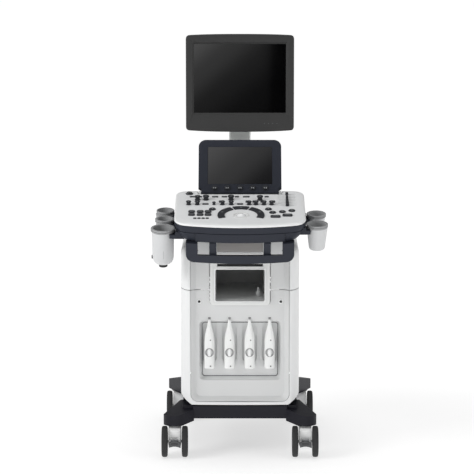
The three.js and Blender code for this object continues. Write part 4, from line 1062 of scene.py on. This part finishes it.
def cup_extras(foot, depth):
    """The large cup's nozzle, its side nub and the moulding line down its front."""
    profile = [(0, -9.8), (12.4, -9.8), (13.8, -8.6), (13.8, -1), (12, 0.4), (0, 0.4)]
    nozzle = turned("nozzle", [(r, h - depth) for r, h in profile], BLACK, steps=40)
    nub = rod("nub", 6, -foot - 2.6, -foot + 4, BLACK, "x", (0, 0, -97), edge=0.8)
    seam = block("seam", 1.6, 2.6, -foot - 0.25, -foot + 1, 26 - depth, -14, RUBBER)
    return [nozzle, nub, seam]


# ---------- touch panel ----------

# The height of the knobs' centres over the hinge, in the touch panel's frame.
KNOB_Z = 11.3


def touch_outline(inset, lift):
    """The touch panel seen from the front; lift raises its lower edge."""
    w = 134.5 - inset
    return round_rect(-w, w, -6 + inset + lift, 187.4 - inset, 4, 24 - inset * 0.5, 12)


def touch_panel():
    rings = [(3.2, 0, -12), (2.2, 0, -11.9), (1.0, 0, -11.2), (0.25, 0, -9.8), (0, 0, -8), (0, 0, 0)]
    rings += [(1.6, 1.5, 3), (7, 9, 9.5), (12, 16, 12.9), (16, 21, 14)]
    body = stack("touch_case", touch_outline, rings, NAVY, "y", 50)
    screen = prism("screen", round_rect(-104.5, 104.5, 25.2, 160.6, 1.8), -7.1, -20, NAVY, "y")
    notches = [block("notch", x - 7.5, x + 7.5, -20, 20, -12, 12, NAVY) for x in (-133, 133)]
    cut(body, screen, *notches, sharp=50)
    join(body, rod("pin", 3, -131.8, 131.8, NAVY, "x"), sharp=50)
    vents = []
    for i in range(5):
        vents.append(prism("vent", round_rect(-60, 60, 128 + i * 7, 131 + i * 7, 1.4), 12.8, 20, NAVY, "y"))
    cut(body, *vents, sharp=50)
    soften(body, 0.7, 2, 50)
    border = prism("border", round_rect(-104.2, 104.2, 25.5, 160.3, 1.7), -9.6, -11.7, TOUCH_GLASS, "y")
    placed(TOUCH, [body, border])
    mount(body, "touch_panel", "touch_housing", slot="navy_cover")
    soften(border, 0.4, 2)
    mount(border, "touch_panel", "touch_glass", slot="screen_glass")
    line = block("panel_line", -112, 112, -12.05, -11.7, 21.6, 22.2, NAVY_DEEP)
    line.matrix_world = TOUCH
    mount(line, "touch_panel")
    for i in range(5):
        touch_knob(i + 1, (i - 2) * 41)


def touch_knob(number, x):
    """A ribbed knob under the screen, with two painted highlights and a seat in the case."""
    node, at = f"touch_knob_{number}", (x, 0, KNOB_Z)
    profile = [(0, 12.4), (8, 12.4), (8, 13.4), (7.3, 14.2), (7.1, 18.6), (6.6, 20.2), (5.6, 20.9), (0, 20.6)]
    knob = turned("knob", profile, KEY, axis="y", at=at, sharp=45)
    pieces = [knob, rod("shaft", 3, 6.6, 13, STEEL, "y", at)]
    for k in range(18):
        a = 2 * math.pi * k / 18
        spot = (x + 7 * math.cos(a), 0, KNOB_Z + 7 * math.sin(a))
        pieces.append(rod("rib", 0.5, 14.4, 19.6, KEY, "y", spot, steps=8))
    # Two pale blocks low on the knob's face are painted highlights, where a lamp would glint.
    for side in (-1, 1):
        middle = x + side * 3.1
        pieces.append(block("glint", middle - 1.5, middle + 1.5, -21.1, -20.4, 5.9, 9.6, KEY_PRINT_AND_GLINT))
    mount(merge(f"{node}_cap", placed(TOUCH, pieces)), node, node, slot="key")
    profile = [(8.2, 11.6), (10.2, 11.8), (10.2, 12.3), (8.8, 12.7), (8.2, 11.6)]
    mount(turned(f"knob_seat_{number}", profile, KEY, TOUCH, axis="y", at=at), "touch_panel")


# ---------- monitor ----------

# The axis that the monitor tilts about.
TILT_AT = (0, 128, 1160)


def monitor_outline(inset):
    """The monitor from the front, its long edges slightly bowed."""
    w, low, high = 177 - inset, 1018 + inset, 1338 - inset
    r = max(13 - inset, 4)
    half = [(0, low)] + curve((0, low), (w * 0.6, low), (w - r, low + 4.6), 16)
    half += curve((w - r, low + 4.6), (w, low + 5), (w, low + 5 + r), 10)
    half += [(w, high - 4 - r)] + curve((w, high - 4 - r), (w, high - 4), (w - r, high - 3.6), 10)
    half += curve((w - r, high - 3.6), (w * 0.6, high), (0, high), 16)
    return mirrored(half)


def screen_rect(grow, r):
    """The visible screen, grown on every side."""
    return round_rect(-150.4 - grow, 150.4 + grow, 1080.6 - grow, 1305.6 + grow, r, steps=6)


def monitor_front():
    rings = [(3.4, 50), (2.2, 50.2), (1.0, 51), (0.3, 52.2), (0, 53.8), (0, 64)]
    bezel = stack("screen_bezel", monitor_outline, rings, CHARCOAL, "y", 50)
    mouth = stack("mouth", screen_rect, [(0, 1, 56.4), (7, 4, 49.6), (7, 4, 40)], CHARCOAL, "y")
    through = prism("through", screen_rect(0, 1), 40, 80, CHARCOAL, "y")
    cut(bezel, mouth, through, prism("seat", screen_rect(4, 1), 57, 80, CHARCOAL, "y"), sharp=50)
    mount(soften(bezel, 0.6, 2, 40), "monitor", "monitor_bezel", slot="charcoal_cover")
    glass = prism("screen_pane", screen_rect(3.6, 1), 57.4, 60, GLASS, "y")
    mount(glass, "monitor", "monitor_glass", slot="screen_glass")
    lamps = []
    for i, x in enumerate((80, 93.6, 107.4, 121.6)):
        lamps.append(rod(f"menu_{i}", 1.1, -50.15, -49.6, MENU, "y", (x, 0, 1046), steps=20))
    mount(merge("menu_dots", lamps), "monitor")


def monitor_back():
    rings = [(0, 64.4), (0, 68), (0.3, 74), (1, 80.4), (3.2, 86.2), (6.6, 92.4), (10, 96), (13.4, 97.6)]
    rings.append((16, 98))
    housing = stack("screen_back", monitor_outline, rings, CHARCOAL, "y", 50)
    raised = lambda i: round_rect(-120 + i, 120 - i, 1080 + i, 1285 - i, 14, steps=8)
    bulge = stack("bulge", raised, [(0, 96), (0, 103.6), (0.8, 105), (2.4, 105.9)], CHARCOAL, "y")
    hollow = stack("hollow", monitor_outline, [(20, 94), (5, 78.4), (4, 59)], CHARCOAL, "y")
    join(housing, bulge, sharp=50)
    cut(housing, hollow, sharp=50)
    vents = []
    for side in (-1, 1):
        for i in range(9):
            x = side * (66 + 5 * i)
            outline = round_rect(x - 1.3, x + 1.3, 1226, 1270, 1.2, steps=4)
            vents.append(prism("vent", outline, 101, 120, CHARCOAL, "y"))
    cut(housing, *vents, sharp=50)
    mount(soften(housing, 0.7, 2, 40), "monitor", "monitor_housing", slot="charcoal_cover")

    plate = prism("tilt_plate", round_rect(-50, 50, 1120, 1200, 8), 106.4, 110.2, STEEL, "y")
    barrel = rod("barrel", 12, -19.4, 19.4, STEEL, "x", TILT_AT, steps=48)
    join(plate, block("arm", -19.4, 19.4, 108, 128, 1148, 1172, STEEL), barrel)
    cut(plate, rod("bore", 5.5, -30, 30, STEEL, "x", TILT_AT))
    pieces = [soften(plate, 0.8, 2)]
    for x in (-40, 40):
        for z in (1130, 1190):
            pieces.append(rod("screw", 4, -112.6, -110, STEEL, "y", (x, 0, z), edge=0.6))
    mount(merge("tilt_bracket", pieces), "monitor", "monitor_tilt_yoke", slot="steel")


def monitor_neck():
    profile = [(0, 829.9), (43.2, 829.9), (44, 830.8), (44, 839), (43, 841.6), (40.4, 842.9), (0, 843)]
    foot = turned("neck_foot", profile, SILVER_LIT, at=(0, 141, 0), steps=64)
    levels = [(39, 842), (37, 846), (35.8, 852), (35.5, 860), (35.5, 1141)]
    column = stack("column", lambda w: round_rect(-w, w, 131, 153, 8), levels, SILVER_LIT)
    side = [(153, 1135), (118, 1150)] + arc(130, 1162, 12, 12, 180, 90, 8) + [(148, 1174), (153, 1168)]
    ears = [prism("ear", side, a, b, SILVER_LIT, "x") for a, b in ((-33, -20.2), (20.2, 33))]
    join(foot, column, *ears)
    pieces = [soften(foot, 1.2, 3), rod("pin", 4.9, -31.8, 31.8, STEEL, "x", TILT_AT)]
    pieces += [rod("cap", 8, a, a + 1.6, STEEL, "x", TILT_AT, edge=0.5) for a in (-34.4, 32.8)]
    mount(merge("neck_post", pieces), "monitor_neck", "monitor_neck", slot="grey_cover")


# ---------- floor, light and camera ----------

# The sensor's width in mm, and the focal length as a share of it.
SENSOR = 36
FOCAL_SHARE = 2232 / 474


def reflection_card(name, wide, high, peak, fade, edge):
    """A black card that only the glass sees, brighter toward its upper left corner, with an upright edge."""
    look, nodes, links, shader = new_look(name)
    fill(shader, {"Base Color": (0, 0, 0, 1), "Roughness": 1, "Emission Color": (peak, peak, peak, 1)})
    where = nodes.new("ShaderNodeTexCoord")
    parts = nodes.new("ShaderNodeSeparateXYZ")
    add = nodes.new("ShaderNodeMath")
    links.new(where.outputs["Generated"], parts.inputs["Vector"])
    links.new(parts.outputs["X"], add.inputs[0])
    links.new(parts.outputs["Y"], add.inputs[1])
    glow = graded(nodes, links, add.outputs["Value"], 2, fade)
    lit = graded(nodes, links, parts.outputs["X"], 1, ((edge, 0), (edge + 0.008, 1)))
    both = nodes.new("ShaderNodeMath")
    both.operation = "MULTIPLY"
    links.new(glow, both.inputs[0])
    links.new(lit, both.inputs[1])
    links.new(both.outputs["Value"], shader.inputs["Emission Strength"])
    w, h = 500 * wide, 500 * high
    card = build(name, [(-w, -h, 0), (w, -h, 0), (w, h, 0), (-w, h, 0)], [(0, 1, 2, 3)], look)
    card.visible_camera = card.visible_diffuse = card.visible_shadow = False
    return card


def graded(nodes, links, source, span, stops):
    """A value read off a ramp of (position, level), with source running from 0 to span."""
    scale = nodes.new("ShaderNodeMath")
    scale.operation = "DIVIDE"
    scale.inputs[1].default_value = span
    links.new(source, scale.inputs[0])
    ramp = nodes.new("ShaderNodeValToRGB")
    ramp.color_ramp.interpolation = "EASE" if len(stops) > 2 else "LINEAR"
    while len(ramp.color_ramp.elements) < len(stops):
        ramp.color_ramp.elements.new(1)
    for element, (at, level) in zip(ramp.color_ramp.elements, stops):
        element.position = at
        element.color = (level, level, level, 1)
    links.new(scale.outputs["Value"], ramp.inputs["Fac"])
    return ramp.outputs["Color"]


def floor():
    """A pale floor that glows a little more with distance: the dimmer glow near the machine is a painted soft
    shadow.
    """
    look = plastic("floor", tone(190), 0.7, cloudy=False)
    nodes, links = look.node_tree.nodes, look.node_tree.links
    shader = nodes["Principled BSDF"]
    where = nodes.new("ShaderNodeTexCoord")
    reach = nodes.new("ShaderNodeVectorMath")
    reach.operation = "LENGTH"
    links.new(where.outputs["Object"], reach.inputs[0])
    glow = graded(nodes, links, reach.outputs["Value"], 4, ((0, 0.6), (0.16, 0.66), (0.5, 0.86)))
    links.new(glow, shader.inputs["Emission Color"])
    shader.inputs["Emission Strength"].default_value = 1
    block("floor", -90000, 90000, -90000, 90000, -40, 0, look)


def surroundings():
    """White all round: bright as a backdrop, and dimmer as light on the machine."""
    world = bpy.data.worlds.new("studio")
    SCENE.world = world
    world.use_nodes = True
    nodes, links = world.node_tree.nodes, world.node_tree.links
    around = nodes["Background"]
    fill(around, {"Color": (1, 1, 1, 1), "Strength": 0.27})
    behind = add_node(nodes, "Background", {"Color": (1, 1, 1, 1), "Strength": 1.05})
    path = nodes.new("ShaderNodeLightPath")
    choose = nodes.new("ShaderNodeMixShader")
    links.new(path.outputs["Is Camera Ray"], choose.inputs["Fac"])
    links.new(around.outputs["Background"], choose.inputs[1])
    links.new(behind.outputs["Background"], choose.inputs[2])
    links.new(choose.outputs["Shader"], nodes["World Output"].inputs["Surface"])


def facing(at, aim, axis):
    return (Vector(aim) - Vector(at)).to_track_quat(axis, "Y").to_euler()


def lights():
    """Soft lamps: power in watts, width and height in metres, where each stands and what it points at."""
    for name, power, wide, high, at, aim in (
        ("key", 138, 2.6, 2.6, (-4.6, -2.7, 3.2), (0, 0, 0.7)),
        ("fill", 44, 3.0, 3.0, (4.6, -2.7, 2.2), (0, 0, 0.6)),
        ("top", 48, 3.0, 3.0, (0, 0.2, 4.6), (0, 0, 0)),
        ("low", 3.4, 1.8, 0.6, (0, -1.5, 0.04), (0, -0.2, 0.3)),
    ):
        lamp = bpy.data.lights.new(name, "AREA")
        lamp.shape = "RECTANGLE"
        lamp.energy = power
        lamp.size = wide
        lamp.size_y = high
        made = bpy.data.objects.new(name, lamp)
        made.location = at
        made.rotation_euler = facing(at, aim, "-Z")
        made.visible_camera = False
        SCENE.collection.objects.link(made)


def reflections():
    """What the two screens mirror: a card for each, with how its glow grades from corner to corner."""
    monitor_fade = ((0.24, 0.01), (0.4, 0.05), (0.52, 0.16), (0.62, 0.45), (0.74, 1))
    panel_fade = ((0.34, 0.01), (0.44, 0.12), (0.54, 0.5), (0.68, 1))
    for name, at, wide, high, toward, peak, fade, edge in (
        ("screen_card", (0, -7.9, 0.65), 1.3, 1.1, (0, 0, 1.18), 1.7, monitor_fade, 0.33),
        ("panel_card", (0, -2.2, 4.35), 1.0, 0.9, (0, -0.14, 0.92), 1.6, panel_fade, 0.0),
    ):
        card = reflection_card(name, wide, high, peak, fade, edge)
        card.location = at
        card.rotation_euler = facing(at, toward, "Z")


def camera():
    lens = bpy.data.cameras.new("camera")
    lens.sensor_width = SENSOR
    lens.lens = FOCAL_SHARE * SENSOR
    lens.clip_end = 100
    made = bpy.data.objects.new("camera", lens)
    made.location = (-0.0096, -7.25, 1.685)
    made.rotation_euler = (math.radians(90 - 7.915), 0, 0)
    SCENE.collection.objects.link(made)
    SCENE.camera = made
    SCENE.view_settings.view_transform = "Standard"


def carried_over():
    """Finishes for the two inner parts the CAD's own shapes stand for."""
    for node, look in (("chassis_frame", ZINC), ("electronics_module", TIN)):
        inner = bpy.data.objects[node]
        inner.data.materials.clear()
        inner.data.materials.append(look)


base()
casters()
lower_covers()
upper_covers()
rear_covers()
printer_bay()
ports()
console_shell()
drawer()
handle()
deck()
controls()
cups()
touch_panel()
monitor_front()
monitor_back()
monitor_neck()
carried_over()
floor()
surroundings()
lights()
reflections()
camera()
